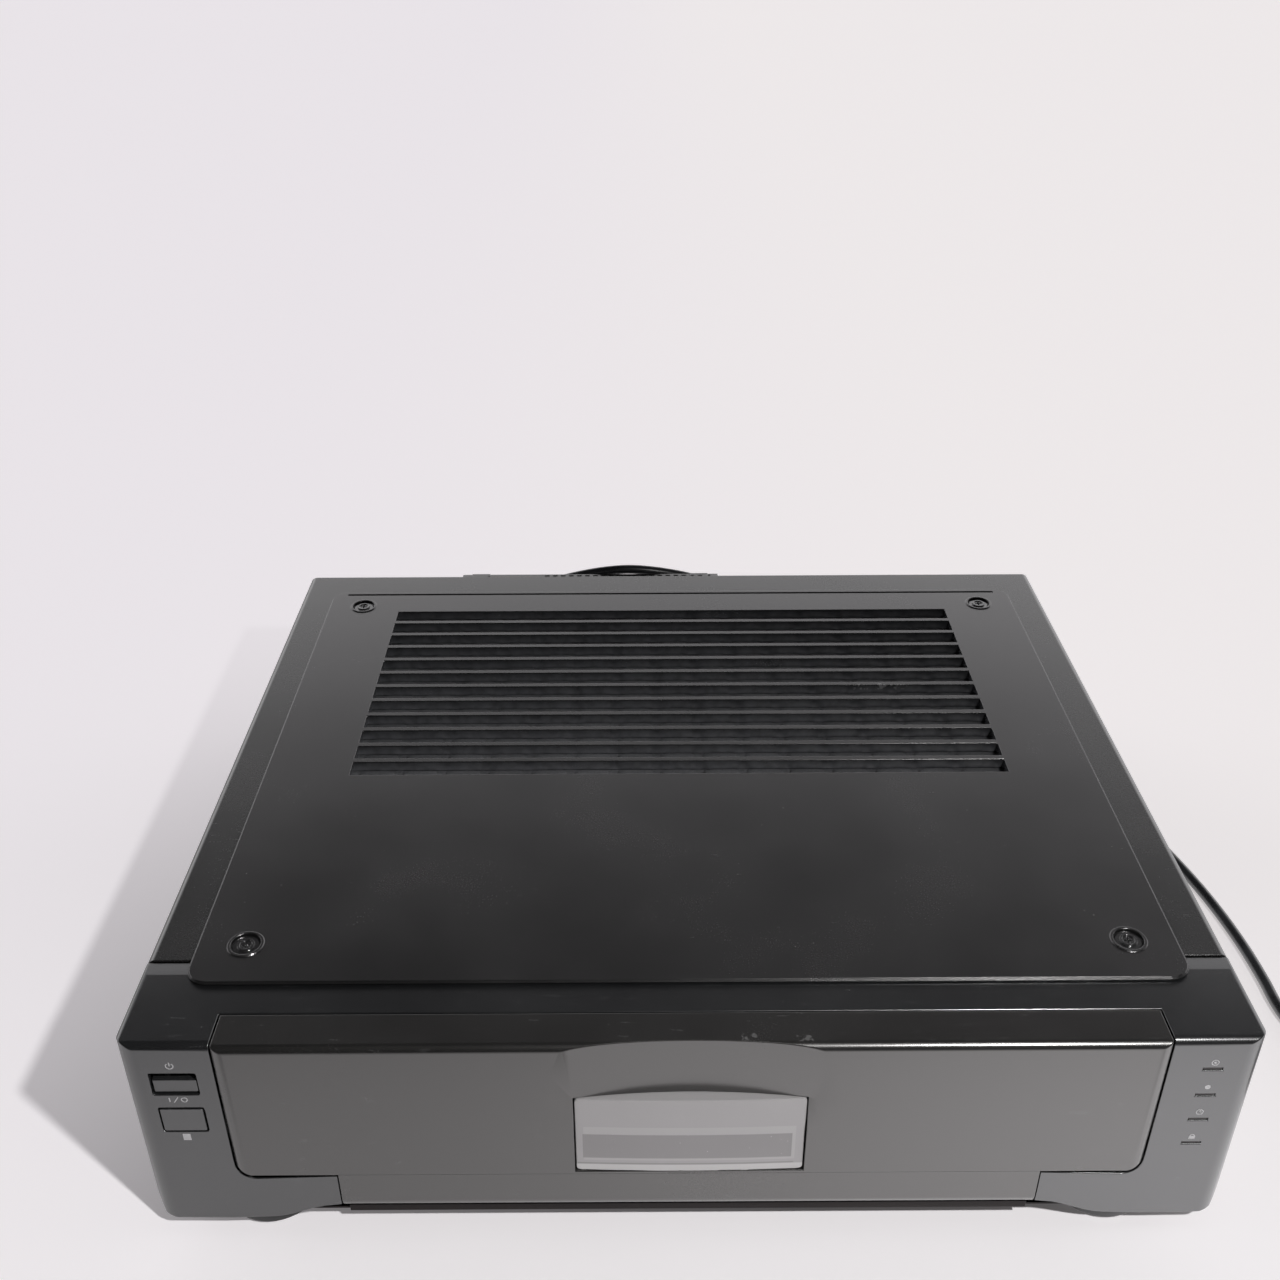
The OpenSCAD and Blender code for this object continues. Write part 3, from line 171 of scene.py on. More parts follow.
class Graph:
    """The node tree of one material or of the world."""

    def __init__(self, owner: Union[Material, World], coordinates: str = "Object") -> None:
        """Starts an empty tree.

        Args:
            owner: The material or world that the tree belongs to.
            coordinates: Name of the coordinates that its patterns read.
        """
        self.owner = owner
        owner.use_nodes = True
        self.tree = owner.node_tree
        self.tree.nodes.clear()
        self.place = self.node("TexCoord").outputs[coordinates]

    @classmethod
    def of(cls, name: str) -> "Graph":
        """Starts the tree of a new material of that name."""
        return cls(bpy.data.materials.new(name))

    def node(self, kind: str, sockets: Mapping[Any, Any] | None = None, **settings: Any) -> Node:
        """Adds a node, sets it up and wires it.

        Args:
            kind: Name of the node's type, without the part that all share.
            sockets: Value, wire or socket for each input, by name or number.
            settings: Properties, which are set first.

        Returns:
            The new node.
        """
        node = self.tree.nodes.new("ShaderNode" + kind)
        for name, value in settings.items():
            setattr(node, name, value)
        for name, value in (sockets or {}).items():
            value = value.socket if isinstance(value, Wire) else value
            if isinstance(value, NodeSocket):
                self.tree.links.new(value, node.inputs[name])
            else:
                node.inputs[name].default_value = value
        return node

    def parts(self) -> list[Wire]:
        """The coordinates' x, y and z."""
        outputs = self.node("SeparateXYZ", {0: self.place}).outputs
        return [Wire(self, outputs[k]) for k in range(3)]

    def bench(self) -> tuple[Wire, Wire, Wire]:
        """Place on the bench.

        Returns:
            The bench's x, y and z in millimetres.
        """
        x, y, z = (part * (1 / MM) for part in self.parts())
        return x, y + MIDDLE_Y, z - COVER_H

    def stretched(self, stretch: Colour, turn: float = 0.0) -> NodeSocket:
        """Object coordinates, squeezed along each axis.

        Args:
            stretch: How many times finer the pattern gets along x, y and z.
            turn: Turn about z in radians.

        Returns:
            The coordinates' socket.
        """
        sockets = {"Vector": self.place, "Scale": stretch, "Rotation": (0, 0, turn)}
        return self.node("Mapping", sockets).outputs[0]

    def noise(self, size: float, detail: float = 2.0, where: NodeSocket | None = None) -> Wire:
        """Soft random pattern.

        Args:
            size: Rough size of its patches in millimetres.
            detail: Number of finer layers.
            where: Coordinates, or None for the plain object's.

        Returns:
            A number about 0.5, mostly from 0.3 to 0.7.
        """
        sockets = {"Vector": where or self.place, "Scale": 1 / (size * MM), "Detail": detail}
        return Wire(self, self.node("TexNoise", sockets).outputs["Fac"])

    def cells(self, size: float, where: NodeSocket | None = None) -> Wire:
        """Distance to the nearest of scattered points, 0 at each point.

        Args:
            size: Rough distance between the points in millimetres.
            where: Coordinates, or None for the plain object's.

        Returns:
            The distance, in units of the size.
        """
        sockets = {"Vector": where or self.place, "Scale": 1 / (size * MM)}
        return Wire(self, self.node("TexVoronoi", sockets).outputs["Distance"])

    def blend(self, share: Number, first: Any, second: Any) -> NodeSocket:
        """Mixes two colours.

        Args:
            share: How much of the second one shows.
            first: A colour or a colour socket.
            second: A colour or a colour socket.

        Returns:
            The mixed colour's socket.
        """
        first, second = ((*c, 1.0) if isinstance(c, tuple) else c for c in (first, second))
        return self.node("Mix", {0: share, 6: first, 7: second}, data_type="RGBA").outputs[2]

    def bump(self, height: Wire, depth: float, strength: float = 1.0) -> NodeSocket:
        """Turns a height pattern into shading normals.

        Args:
            height: The pattern, from 0 to 1.
            depth: Real height of the pattern in millimetres.
            strength: Share of the effect.

        Returns:
            The normal's socket.
        """
        sockets = {"Height": height, "Distance": depth * MM, "Strength": strength}
        return self.node("Bump", sockets).outputs[0]

    def finish(self, sockets: Mapping[str, Any]) -> Material:
        """Adds the Principled shader and the output.

        Args:
            sockets: Its inputs by name.

        Returns:
            The finished material.
        """
        shader = self.node("BsdfPrincipled", sockets)
        self.node("OutputMaterial", {"Surface": shader.outputs[0]})
        return self.owner


# Finishes.


@dataclass(frozen=True)
class Finish:
    """A surface finish; each kind builds its material once."""

    name: str
    colour: Colour
    roughness: float = 0.5

    def build(self) -> Material:
        """Builds the material."""
        raise NotImplementedError

    def material(self) -> Material:
        """Returns the material, and builds it when it is first asked for."""
        return bpy.data.materials.get(self.name) or self.build()


@dataclass(frozen=True)
class Moulded(Finish):
    """Moulded plastic or textured paint, with fine grain, handling marks and dust."""

    ior: float = 1.5
    grain: float = 0.5
    depth: float = 0.02
    mottle: float = 0.12
    dust: float = 0.0
    scuff: float = 0.0
    tint: Colour = (1.0, 1.0, 1.0)
    rubbed: tuple[Quad, ...] = ()
    rub: float = 0.8
    rub_level: Span = (-1.4, -0.8)
    scuffed: Colour = (0.16, 0.16, 0.165)
    whitened: Colour = (0.34, 0.34, 0.34)
    lint: Colour = (0.5, 0.49, 0.47)

    def build(self) -> Material:
        """Fine noise makes the grain, broad noise smudges, and sparse cells specks.

        Returns:
            The material.
        """
        g = Graph.of(self.name)
        broad = g.noise(60.0, 3.0)
        fine = g.noise(self.grain, 1.0)
        pale = tuple(min(1.0, c * (1 + self.mottle) + 0.004) for c in self.colour)
        dark = tuple(c * (1 - self.mottle) for c in self.colour)
        colour = g.blend(fine.over(0.35, 0.65) * 0.5 + broad.over(0.35, 0.65) * 0.5, dark, pale)
        rough: Number = broad * 0.1 + fine * 0.06 + (self.roughness - 0.08)
        if self.scuff:
            rub = g.noise(9.0, 4.0, g.stretched((1.0, 6.0, 2.0), 0.5))
            marks = rub.over(0.64, 0.74) * self.scuff
            colour = g.blend(marks, colour, self.scuffed)
            rough = rough + marks * 0.2
        colour = self.local(g, colour)
        if self.dust:
            specks = (1.0 - g.cells(6.5).over(0.03, 0.05)) * g.noise(22.0).over(0.5, 0.62)
            colour = g.blend(specks * self.dust, colour, self.lint)
        return g.finish({
            "Base Color": colour,
            "Roughness": rough,
            "IOR": self.ior,
            "Specular Tint": (*self.tint, 1.0),
            "Normal": g.bump(fine, self.depth),
        })

    def local(self, g: Graph, colour: NodeSocket) -> NodeSocket:
        """Whitens the colour at the rubbed places, in small broken flecks.

        Args:
            g: The material's graph.
            colour: The colour so far.

        Returns:
            The changed colour's socket.
        """
        if self.rubbed:
            x, y, z = g.bench()
            flecks = g.noise(2.2, 3.0).over(0.5, 0.62) * z.over(*self.rub_level)
            for x0, x1, y0, y1 in self.rubbed:
                at = x.within(x0, x1, 0.5) * y.within(y0, y1, 0.3)
                colour = g.blend(at * flecks * self.rub, colour, self.whitened)
        return colour


@dataclass(frozen=True)
class Louvred(Moulded):
    """Moulding whose louvre slots are painted paler further down: partly dust, partly painted light
    on the slot walls, with painted shade left under the ribs' tops.
    """

    well_x: Span = (-157.0, 157.0)
    well_y: Span = (164.0, 323.0)
    well_z: Span = (-3.2, 1.7)
    rim_z: Span = (1.3, 1.7)
    # Pale colour of dust and painted light in the slots.
    dust_and_painted_light: Colour = (0.125, 0.128, 0.138)

    def local(self, g: Graph, colour: NodeSocket) -> NodeSocket:
        """Paints the slots paler, more with depth below the ribs' tops, in soft patches: partly dust,
        partly painted light, leaving painted shade just under the tops.

        Args:
            g: The material's graph.
            colour: The colour so far.

        Returns:
            The changed colour's socket.
        """
        x, y, z = g.bench()
        inside = x.within(*self.well_x, 0.5) * y.within(*self.well_y, 0.5)
        # Painted light and dust grow with depth; the upper walls stay darker as painted shade.
        deep = (1.0 - z.over(*self.well_z)) * 0.6 + (1.0 - z.over(*self.rim_z)) * 0.4
        patchy = g.noise(5.0, 3.0).over(0.25, 0.7) * 0.4 + 0.6
        colour = super().local(g, colour)
        return g.blend(inside * deep * patchy, colour, self.dust_and_painted_light)


@dataclass(frozen=True)
class Metal(Finish):
    """Rolled, plated or turned metal."""

    brushing: Colour = (1.0, 14.0, 14.0)
    spangle: float = 0.15

    def build(self) -> Material:
        """Drawn-out noise makes the rolling marks, and cells the plating's faint patches.

        Returns:
            The material.
        """
        g = Graph.of(self.name)
        lines = g.noise(3.0, 4.0, g.stretched(self.brushing))
        patches = g.cells(7.0)
        dark = tuple(c * (1 - self.spangle) for c in self.colour)
        return g.finish({
            "Base Color": g.blend(patches.over(0.1, 0.8) * 0.6 + lines * 0.4, dark, self.colour),
            "Roughness": lines * 0.2 + patches * 0.08 + (self.roughness - 0.14),
            "Metallic": 1.0,
            "Normal": g.bump(lines, 0.01, 0.6),
        })


@dataclass(frozen=True)
class Sheath(Finish):
    """Smooth flexible sheath or rubber with a faint bloom."""

    ior: float = 1.5

    def build(self) -> Material:
        """Soft noise lightens the sheath in patches, and fine noise roughens it.

        Returns:
            The material.
        """
        g = Graph.of(self.name)
        bloom, fine = g.noise(14.0, 3.0), g.noise(0.6, 1.0)
        pale = tuple(c * 1.5 + 0.008 for c in self.colour)
        return g.finish({
            "Base Color": g.blend(bloom.over(0.4, 0.7), self.colour, pale),
            "Roughness": bloom * 0.16 + fine * 0.08 + (self.roughness - 0.12),
            "IOR": self.ior,
            "Normal": g.bump(fine, 0.015),
        })


@dataclass(frozen=True)
class Board(Finish):
    """Lacquered circuit board with traces that show through the lacquer."""

    trace: Colour = (0.1, 0.2, 0.12)
    solder: Colour = (0.55, 0.55, 0.5)

    def build(self) -> Material:
        """Bands of a brick pattern make traces, and scattered cells make solder joints.

        Returns:
            The material.
        """
        g = Graph.of(self.name)
        sockets = {"Vector": g.place, "Scale": 90.0, "Mortar Size": 0.012}
        bricks = g.node("TexBrick", {**sockets, "Brick Width": 0.9, "Row Height": 0.22}, offset=0.37)
        joints = 1.0 - g.cells(4.0).over(0.16, 0.2)
        traces = Wire(g, bricks.outputs["Fac"])
        board = g.blend(traces * 0.6, self.colour, self.trace)
        return g.finish({
            "Base Color": g.blend(joints * 0.8, board, self.solder),
            "Roughness": joints * 0.1 + g.noise(4.0) * 0.2 + 0.2,
            "Metallic": joints * 0.7,
            "Normal": g.bump(joints + traces * 0.3, 0.15, 0.5),
        })


@dataclass(frozen=True)
class Clear(Finish):
    """Clear, milky or smoked plastic that what is behind it shows through."""

    cover: float = 0.3
    ior: float = 1.5

    def build(self) -> Material:
        """Broad noise keeps the surface from being a perfect mirror and clouds it a little.

        Returns:
            The material.
        """
        g = Graph.of(self.name)
        haze = g.noise(25.0, 3.0)
        return g.finish({
            "Base Color": self.shade(g, haze),
            "Roughness": haze * 0.08 + self.roughness,
            "Alpha": haze * 0.04 + (self.cover - 0.02),
            "IOR": self.ior,
        })

    def shade(self, g: Graph, haze: Wire) -> NodeSocket:
        """The colour, a little clouded."""
        return g.blend(haze * 0.3, self.colour, tuple(c * 0.9 for c in self.colour))


@dataclass(frozen=True)
class Plate(Clear):
    """The door's milky window, with a darker field moulded into its middle."""

    field: Colour = (0.27, 0.26, 0.265)
    bright: Colour = (0.75, 0.74, 0.74)
    rim_x: Span = (-41.2, 40.9)
    rim_z: Span = (-62.4, -44.2)
    field_x: Span = (-41.6, 39.6)
    field_z: Span = (-61.2, -48.2)
    line_x: Span = (-43.8, 40.6)
    line_z: Span = (-64.6, -63.8)
    foot_z: Span = (-65.0, -64.6)

    def shade(self, g: Graph, haze: Wire) -> NodeSocket:
        """Bands of x and z draw the field, a painted highlight on its rim, the line under it and a
        painted highlight along the foot.

        Args:
            g: The material's graph.
            haze: Its broad noise, which doesn't cloud the plate.

        Returns:
            The colour's socket.
        """
        x, _, z = g.bench()
        rim = x.within(*self.rim_x, 0.12) * z.within(*self.rim_z, 0.15)
        middle = x.within(*self.field_x, 0.12) * z.within(*self.field_z, 0.3)
        line = x.within(*self.line_x, 0.2) * z.within(*self.line_z, 0.12)
        foot = 1.0 - z.over(*self.foot_z)
        specks = (1.0 - g.cells(4.0).over(0.03, 0.06)) * middle * 0.6
        # Painted highlight on the rim of the field.
        colour = g.blend(rim * 0.12, self.colour, self.bright)
        colour = g.blend(middle, colour, self.field)
        colour = g.blend(line * 0.8, colour, self.field)
        # Painted highlight along the window's foot.
        colour = g.blend(foot * 0.45, colour, self.bright)
        return g.blend(specks, colour, self.bright)


@dataclass(frozen=True)
class Print(Finish):
    """Screen-printed ink, slightly broken up by the grain under it."""

    def build(self) -> Material:
        """Fine noise thins the ink in spots.

        Returns:
            The material.
        """
        g = Graph.of(self.name)
        spots = g.noise(0.25, 2.0)
        worn = tuple(c * 0.7 for c in self.colour)
        return g.finish({
            "Base Color": g.blend(spots.over(0.55, 0.75), self.colour, worn),
            "Roughness": spots * 0.2 + self.roughness,
        })


BEZEL = Moulded(
    "bezel_plastic_black", (0.0085, 0.0088, 0.0096), 0.24, 2.1, 0.45, 0.014, 0.15, 0.12, 0.1,
    tint=(0.985, 0.99, 1.0),
)
DOOR_FACE = Moulded(
    "door_plastic_black", (0.0095, 0.0091, 0.0088), 0.25, 2.1, 0.4, 0.014, 0.12, 0.1, 0.08,
    tint=(1.0, 0.985, 0.975), rubbed=((18.6, 24.4, 1.4, 5.0), (39.0, 45.0, 0.8, 4.0)), rub=0.22,
)
PANEL = Louvred(
    "panel_plastic_black", (0.0085, 0.0083, 0.0085), 0.25, 2.1, 0.6, 0.016, 0.15, 0.3, 0.06,
    tint=(1.0, 0.99, 1.0),
    rubbed=((93.0, 100.6, 237.1, 242.8), (104.6, 110.1, 235.0, 243.6), (112.1, 120.8, 236.9, 242.6)),
)
COVER = Moulded("cover_paint_black", (0.0085, 0.0083, 0.0085), 0.26, 2.1, 0.6, 0.016, 0.15, 0.2, 0.08)
TRAY = Moulded("tray_paint_black", (0.011, 0.008, 0.008), 0.5, 1.25, 0.6, 0.02, 0.15, 0.2)
VENT = Moulded("vent_paint_black", (0.12, 0.122, 0.13), 0.5, 1.5, 0.8, 0.02, 0.3, 0.5)
SCREW = Moulded("screw_plating_black", (0.01, 0.01, 0.0105), 0.17, 2.6, 0.3, 0.008, 0.2)
# Painted shadow: dark matt finish for the plates in the panel's rear seam and the box's square vents.
SHADE = Moulded("gap_painted_shadow_black", (0.004, 0.004, 0.004), 0.7, 1.05, 0.6, 0.01)
BLACK = Moulded("black_plastic_moulded", (0.014, 0.014, 0.015), 0.5, 1.5, 0.6, 0.02)
KEY = Moulded("key_plastic_grey", (0.05, 0.05, 0.053), 0.42, 1.5, 0.5, 0.01)
RECORD_RED = Moulded("record_plastic_red", (0.2, 0.018, 0.014), 0.4, 1.5, 0.5, 0.01)
MASK = Moulded("window_mask_pale", (0.7, 0.69, 0.69), 0.35, 1.5, 0.5, 0.004, 0.03)
FILTER = Moulded("window_filter_grey", (0.5, 0.49, 0.49), 0.2, 1.5, 0.5, 0.002, 0.05)
LAMP = Moulded("indicator_tint_dark", (0.03, 0.026, 0.026), 0.3, 1.5, 0.6, 0.005)
GEAR = Moulded("gear_acetal_natural", (0.72, 0.69, 0.6), 0.4, 1.5, 0.8, 0.01)
CORE = Moulded("core_varnish_brown", (0.06, 0.045, 0.035), 0.5, 1.5, 0.8, 0.1)
ZINC = Metal("sheet_zinc_plated", (0.62, 0.63, 0.62), 0.36)
DECK = Metal("sheet_deck_pressed", (0.58, 0.58, 0.59), 0.32, (14.0, 1.0, 14.0), 0.08)
TURNED = Metal("drum_metal_turned", (0.8, 0.81, 0.82), 0.2, (1.0, 1.0, 40.0), 0.03)
NICKEL = Metal("pin_nickel_plated", (0.66, 0.64, 0.6), 0.28, (20.0, 1.0, 20.0), 0.05)
SHEATH = Sheath("cord_sheath_black", (0.017, 0.0185, 0.022), 0.3, 1.85)
TYRE = Sheath("roller_rubber_black", (0.014, 0.014, 0.015), 0.62)
PAD = Sheath("foot_pad_rubber", (0.03, 0.03, 0.032), 0.7)
GREEN_BOARD = Board("board_lacquer_green", (0.02, 0.075, 0.035), 0.35)
BROWN_BOARD = Board("board_phenolic_brown", (0.2, 0.11, 0.045), 0.4, (0.3, 0.18, 0.08))
WINDOW = Plate("window_acrylic_milky", (0.38, 0.37, 0.375), 0.06, 0.85, 1.6)
LENS = Clear("lens_acrylic_smoked", (0.012, 0.013, 0.014), 0.04, 0.72)
DISPLAY = Moulded("display_glass_dark", (0.02, 0.032, 0.03), 0.12, 1.5, 0.8, 0.002)
INK = Print("ink_pale_grey", (0.5, 0.5, 0.51), 0.45)
GLOW_INK = Print("segment_tint_pale", (0.35, 0.8, 0.72), 0.4)


# Meshes.


def put(name: str, data: Any) -> Object:
    """Puts a new object into the scene.

    Args:
        name: Its name.
        data: Its mesh, camera or light.

    Returns:
        The object.
    """
    item = bpy.data.objects.new(name, data)
    bpy.context.scene.collection.objects.link(item)
    return item


def add_piece(name: str, mesh: Mesh, finish: Finish, body: str) -> Object:
    """Links a mesh as a finished piece.

    Args:
        name: The piece's name.
        mesh: Its mesh, in the frame.
        finish: Its finish.
        body: The body that it rides on.

    Returns:
        The new object.
    """
    piece = put(name, mesh)
    mesh.materials.clear()
    mesh.materials.append(finish.material())
    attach(piece, body)
    log.info("%s: %d faces on %s", name, len(mesh.polygons), body)
    return piece


def new_mesh(name: str, points: Points, faces: Sequence[Sequence[int]]) -> Mesh:
    """Makes a smooth mesh with its normals outwards.

    Args:
        name: The mesh's name.
        points: Vertices in bench millimetres.
        faces: Vertex numbers of each face.

    Returns:
        The mesh, in the frame.
    """
    mesh = bpy.data.meshes.new(name)
    mesh.from_pydata(in_case(points.reshape(-1, 3)), [], [list(f) for f in faces])
    work = bmesh.new()
    work.from_mesh(mesh)
    bmesh.ops.remove_doubles(work, verts=work.verts, dist=1e-7)
    bmesh.ops.recalc_face_normals(work, faces=work.faces)
    work.to_mesh(mesh)
    work.free()
    mesh.shade_smooth()
    return mesh


def rings_mesh(name: str, *tubes: Points) -> Mesh:
    """Joins closed rings one after another into tubes with flat ends.

    Vertex (i, j) of a tube's ring i is joined to (i, j + 1), (i + 1, j + 1) and
    (i + 1, j), with j counted round the ring.

    Args:
        name: The mesh's name.
        tubes: For each tube an array of rings by points by three, in bench millimetres.

    Returns:
        The mesh, in the frame.
    """
    faces, start = [], 0
    for m, n in (tube.shape[:2] for tube in tubes):
        i, j = np.meshgrid(np.arange(m - 1), np.arange(n), indexing="ij")
        k = (j + 1) % n
        quads = np.stack([i * n + j, i * n + k, (i + 1) * n + k, (i + 1) * n + j], axis=-1)
        ends = np.array([np.arange(n), np.arange(n) + (m - 1) * n])
        faces += (quads.reshape(-1, 4) + start).tolist() + (ends + start).tolist()
        start += m * n
    return new_mesh(name, np.concatenate([tube.reshape(-1, 3) for tube in tubes]), faces)


def tube_rings(line: Points, radius: Union[float, Points], sides: int) -> Points:
    """Rings of a round tube along a line.

    With t the line's direction, s is t cross straight up, and w is s cross t; a ring's
    point at angle a is the line's point plus radius times (s cos a + w sin a).

    Args:
        line: Points of the middle line.
        radius: One radius, or one for each point.
        sides: Points in each ring.

    Returns:
        Array of rings by points by three.
    """
    t = np.gradient(line, axis=0)
    t /= np.linalg.norm(t, axis=1, keepdims=True)
    s = np.cross(t, (0.0, 0.0, 1.0))
    s /= np.linalg.norm(s, axis=1, keepdims=True)
    w = np.cross(s, t)
    a = np.linspace(0, 2 * np.pi, sides, endpoint=False)[None, :, None]
    r = np.broadcast_to(np.asarray(radius, float), (len(line),))[:, None, None]
    return line[:, None, :] + r * (s[:, None, :] * np.cos(a) + w[:, None, :] * np.sin(a))


def smooth_line(points: Points, steps: int) -> Points:
    """The smooth curve through the points.

    Between two points p1 and p2 with neighbours p0 and p3 it is half of
    2 p1 + (p2 - p0) u + (2 p0 - 5 p1 + 4 p2 - p3) u^2 + (3 p1 - 3 p2 + p3 - p0) u^3.

    Args:
        points: The points that it goes through.
        steps: Pieces that each stretch is cut into.

    Returns:
        The curve's points.
    """
    p = np.vstack([2 * points[0] - points[1], points, 2 * points[-1] - points[-2]])
    u = (np.arange(steps) / steps)[None, :, None]
    p0, p1, p2, p3 = (p[k : len(p) - 3 + k, None, :] for k in range(4))
    square, cube = 2 * p0 - 5 * p1 + 4 * p2 - p3, 3 * p1 - 3 * p2 + p3 - p0
    curve = 0.5 * (2 * p1 + (p2 - p0) * u + square * u**2 + cube * u**3)
    return np.vstack([curve.reshape(-1, 3), points[-1]])


def round_outline(half_x: float, half_y: float, corner: float, steps: int = 6) -> Points:
    """Outline of a rectangle with round corners about the middle, anticlockwise.

    Each corner is a quarter turn of the corner's radius about a point that lies one
    radius inside both sides.

    Args:
        half_x: Half its width.
        half_y: Half its depth.
        corner: Radius of its corners.
        steps: Points in each corner.

    Returns:
        The outline's points.
    """
    turns = np.radians(np.linspace(0, 90, steps)[None, :] + np.arange(4)[:, None] * 90)
    middles = np.array([[1, 1], [-1, 1], [-1, -1], [1, -1]]) * (half_x - corner, half_y - corner)
    arcs = middles[:, None, :] + corner * np.stack([np.cos(turns), np.sin(turns)], axis=-1)
    return arcs.reshape(-1, 2)


def stroke(start: Span, end: Span, width: float) -> Points:
    """Outline of a straight line of a sign: its ends, half a width to either side.

    Args:
        start: x and z of one end.
        end: x and z of the other end.
        width: The line's width.

    Returns:
        The outline, as x and z.
    """
    a, b = np.array(start), np.array(end)
    along = (b - a) / np.linalg.norm(b - a)
    side = np.array([-along[1], along[0]]) * width / 2
    return np.array([a - side, b - side, b + side, a + side])


def bow(
    x: float, z: float, radius: float, width: float, start: float = 0.0, end: float = 358.0
) -> Points:
    """Outline of a curved line of a sign: out along one radius and back along another.

    Args:
        x: Its middle.
        z: Its middle.
        radius: Radius of the line's own middle.
        width: The line's width.
        start: First angle in degrees, anticlockwise from x.
        end: Last angle in degrees.

    Returns:
        The outline, as x and z.
    """
    a = np.radians(np.linspace(start, end, max(8, int((end - start) / 15))))
    way = np.stack([np.cos(a), np.sin(a)], axis=-1)
    return np.vstack([way * (radius + width / 2), way[::-1] * (radius - width / 2)]) + (x, z)


def shape(x: float, z: float, *corners: Span) -> Points:
    """Outline of a filled part of a sign, from its corners about a place."""
    return np.array(corners, float) + (x, z)


def disc(x: float, z: float, radius: float) -> Points:
    """Outline of a filled dot of a sign, a circle of points 20 degrees apart."""
    a = np.radians(np.arange(0, 360, 20))
    return np.stack([np.cos(a), np.sin(a)], axis=-1) * radius + (x, z)


@dataclass(frozen=True)
class Sign:
    """A plain sign printed on an upright front face."""

    name: str
    body: str
    slot: str
    face_y: float
    parts: tuple[Points, ...]
    ink: Finish = INK
    thickness: float = 0.05

    def build(self) -> Object:
        """Builds every part of the sign as a thin plate just in front of the face.

        Returns:
            The sign's piece.
        """
        levels = (self.face_y + 0.02, self.face_y - self.thickness)
        plates = [np.stack([np.insert(part, 1, y, axis=1) for y in levels]) for part in self.parts]
        mesh = rings_mesh(self.name, *plates)
        mesh.shade_flat()
        return add_piece(self.name, mesh, self.ink, self.body)


class Shading(Enum):
    """How the flat faces of an edged piece are treated."""

    MERGED = "merged, with even normals"
    FLAT = "left as they are, each with its own normal"


@dataclass(frozen=True)
class Edged:
    """A rigid node shown with softened edges and its finish."""

    node: str
    finish: Finish
    edge: float = 0.3
    steps: int = 2
    angle: float = 30.0
    weld_level: float | None = None
    weld: float = 0.25
    shading: Shading = Shading.MERGED

    def build(self) -> Object:
        """Copies the node's mesh, treats its flat faces and rounds its edges.

        Where two curved cuts meet at the weld level, near corners are merged first, so
        that no sliver is left between them.

        Returns:
            The piece that stands for the node.
        """
        source = frame["nodes"][self.node]
        merged = self.shading is Shading.MERGED
        work = bmesh.new()
        work.from_mesh(source.data)
        bmesh.ops.remove_doubles(work, verts=work.verts, dist=DOUBLES)
        if self.weld_level is not None:
            level = (self.weld_level + COVER_H) * MM
            near = [v for v in work.verts if abs(v.co.z - level) < LEVEL_SLACK]
            bmesh.ops.remove_doubles(work, verts=near, dist=self.weld * MM)
        if merged:
            bmesh.ops.dissolve_limit(
                work, angle_limit=FLAT_ANGLE, verts=work.verts, edges=work.edges
            )
        mesh = bpy.data.meshes.new(self.node + "_edged")
        work.to_mesh(mesh)
        work.free()
        mesh.shade_smooth()
        slot = next(s["material_slot"] for s in frame["record"]["subparts"] if s["node"] == self.node)
        piece = add_piece(self.node + "_edged", mesh, self.finish, source["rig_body"])
        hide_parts(self.node)
        bevel = piece.modifiers.new("edges", "BEVEL")
        bevel.width, bevel.segments = self.edge * MM, self.steps
        bevel.limit_method, bevel.angle_limit = "ANGLE", math.radians(self.angle)
        bevel.use_clamp_overlap, bevel.loop_slide = False, merged
        if merged:
            even = piece.modifiers.new("even", "WEIGHTED_NORMAL")
            even.mode, even.keep_sharp = "FACE_AREA", True
        else:
            mesh.shade_flat()
        return piece


def dress(node: str, finish: Finish) -> None:
    """Gives a node its finish and leaves its shape as it is.

    Args:
        node: The node's name.
        finish: Its finish.
    """
    target = frame["nodes"][node]
    if not target.material_slots:
        target.data.materials.append(finish.material())
    for place in target.material_slots:
        place.material = finish.material()
    log.info("%s: %s", node, finish.name)


def alike(nodes: str, finish: Finish, edge: float, steps: int = 2) -> list[Edged]:
    """Edged pieces that share a finish and an edge."""
    return [Edged(node, finish, edge, steps) for node in nodes.split()]


# Sub-assemblies.


Dressed = tuple[tuple[Finish, str], ...]


@dataclass
class Assembly:
    """Nodes that get softened edges, and nodes that keep their own mesh."""

    edged: tuple[Edged, ...] = ()
    plain: Dressed = ()

    def build(self) -> None:
        """Builds the edged pieces and dresses the plain ones."""
        for part in self.edged:
            part.build()
        for finish, nodes in self.plain:
            for node in nodes.split():
                dress(node, finish)


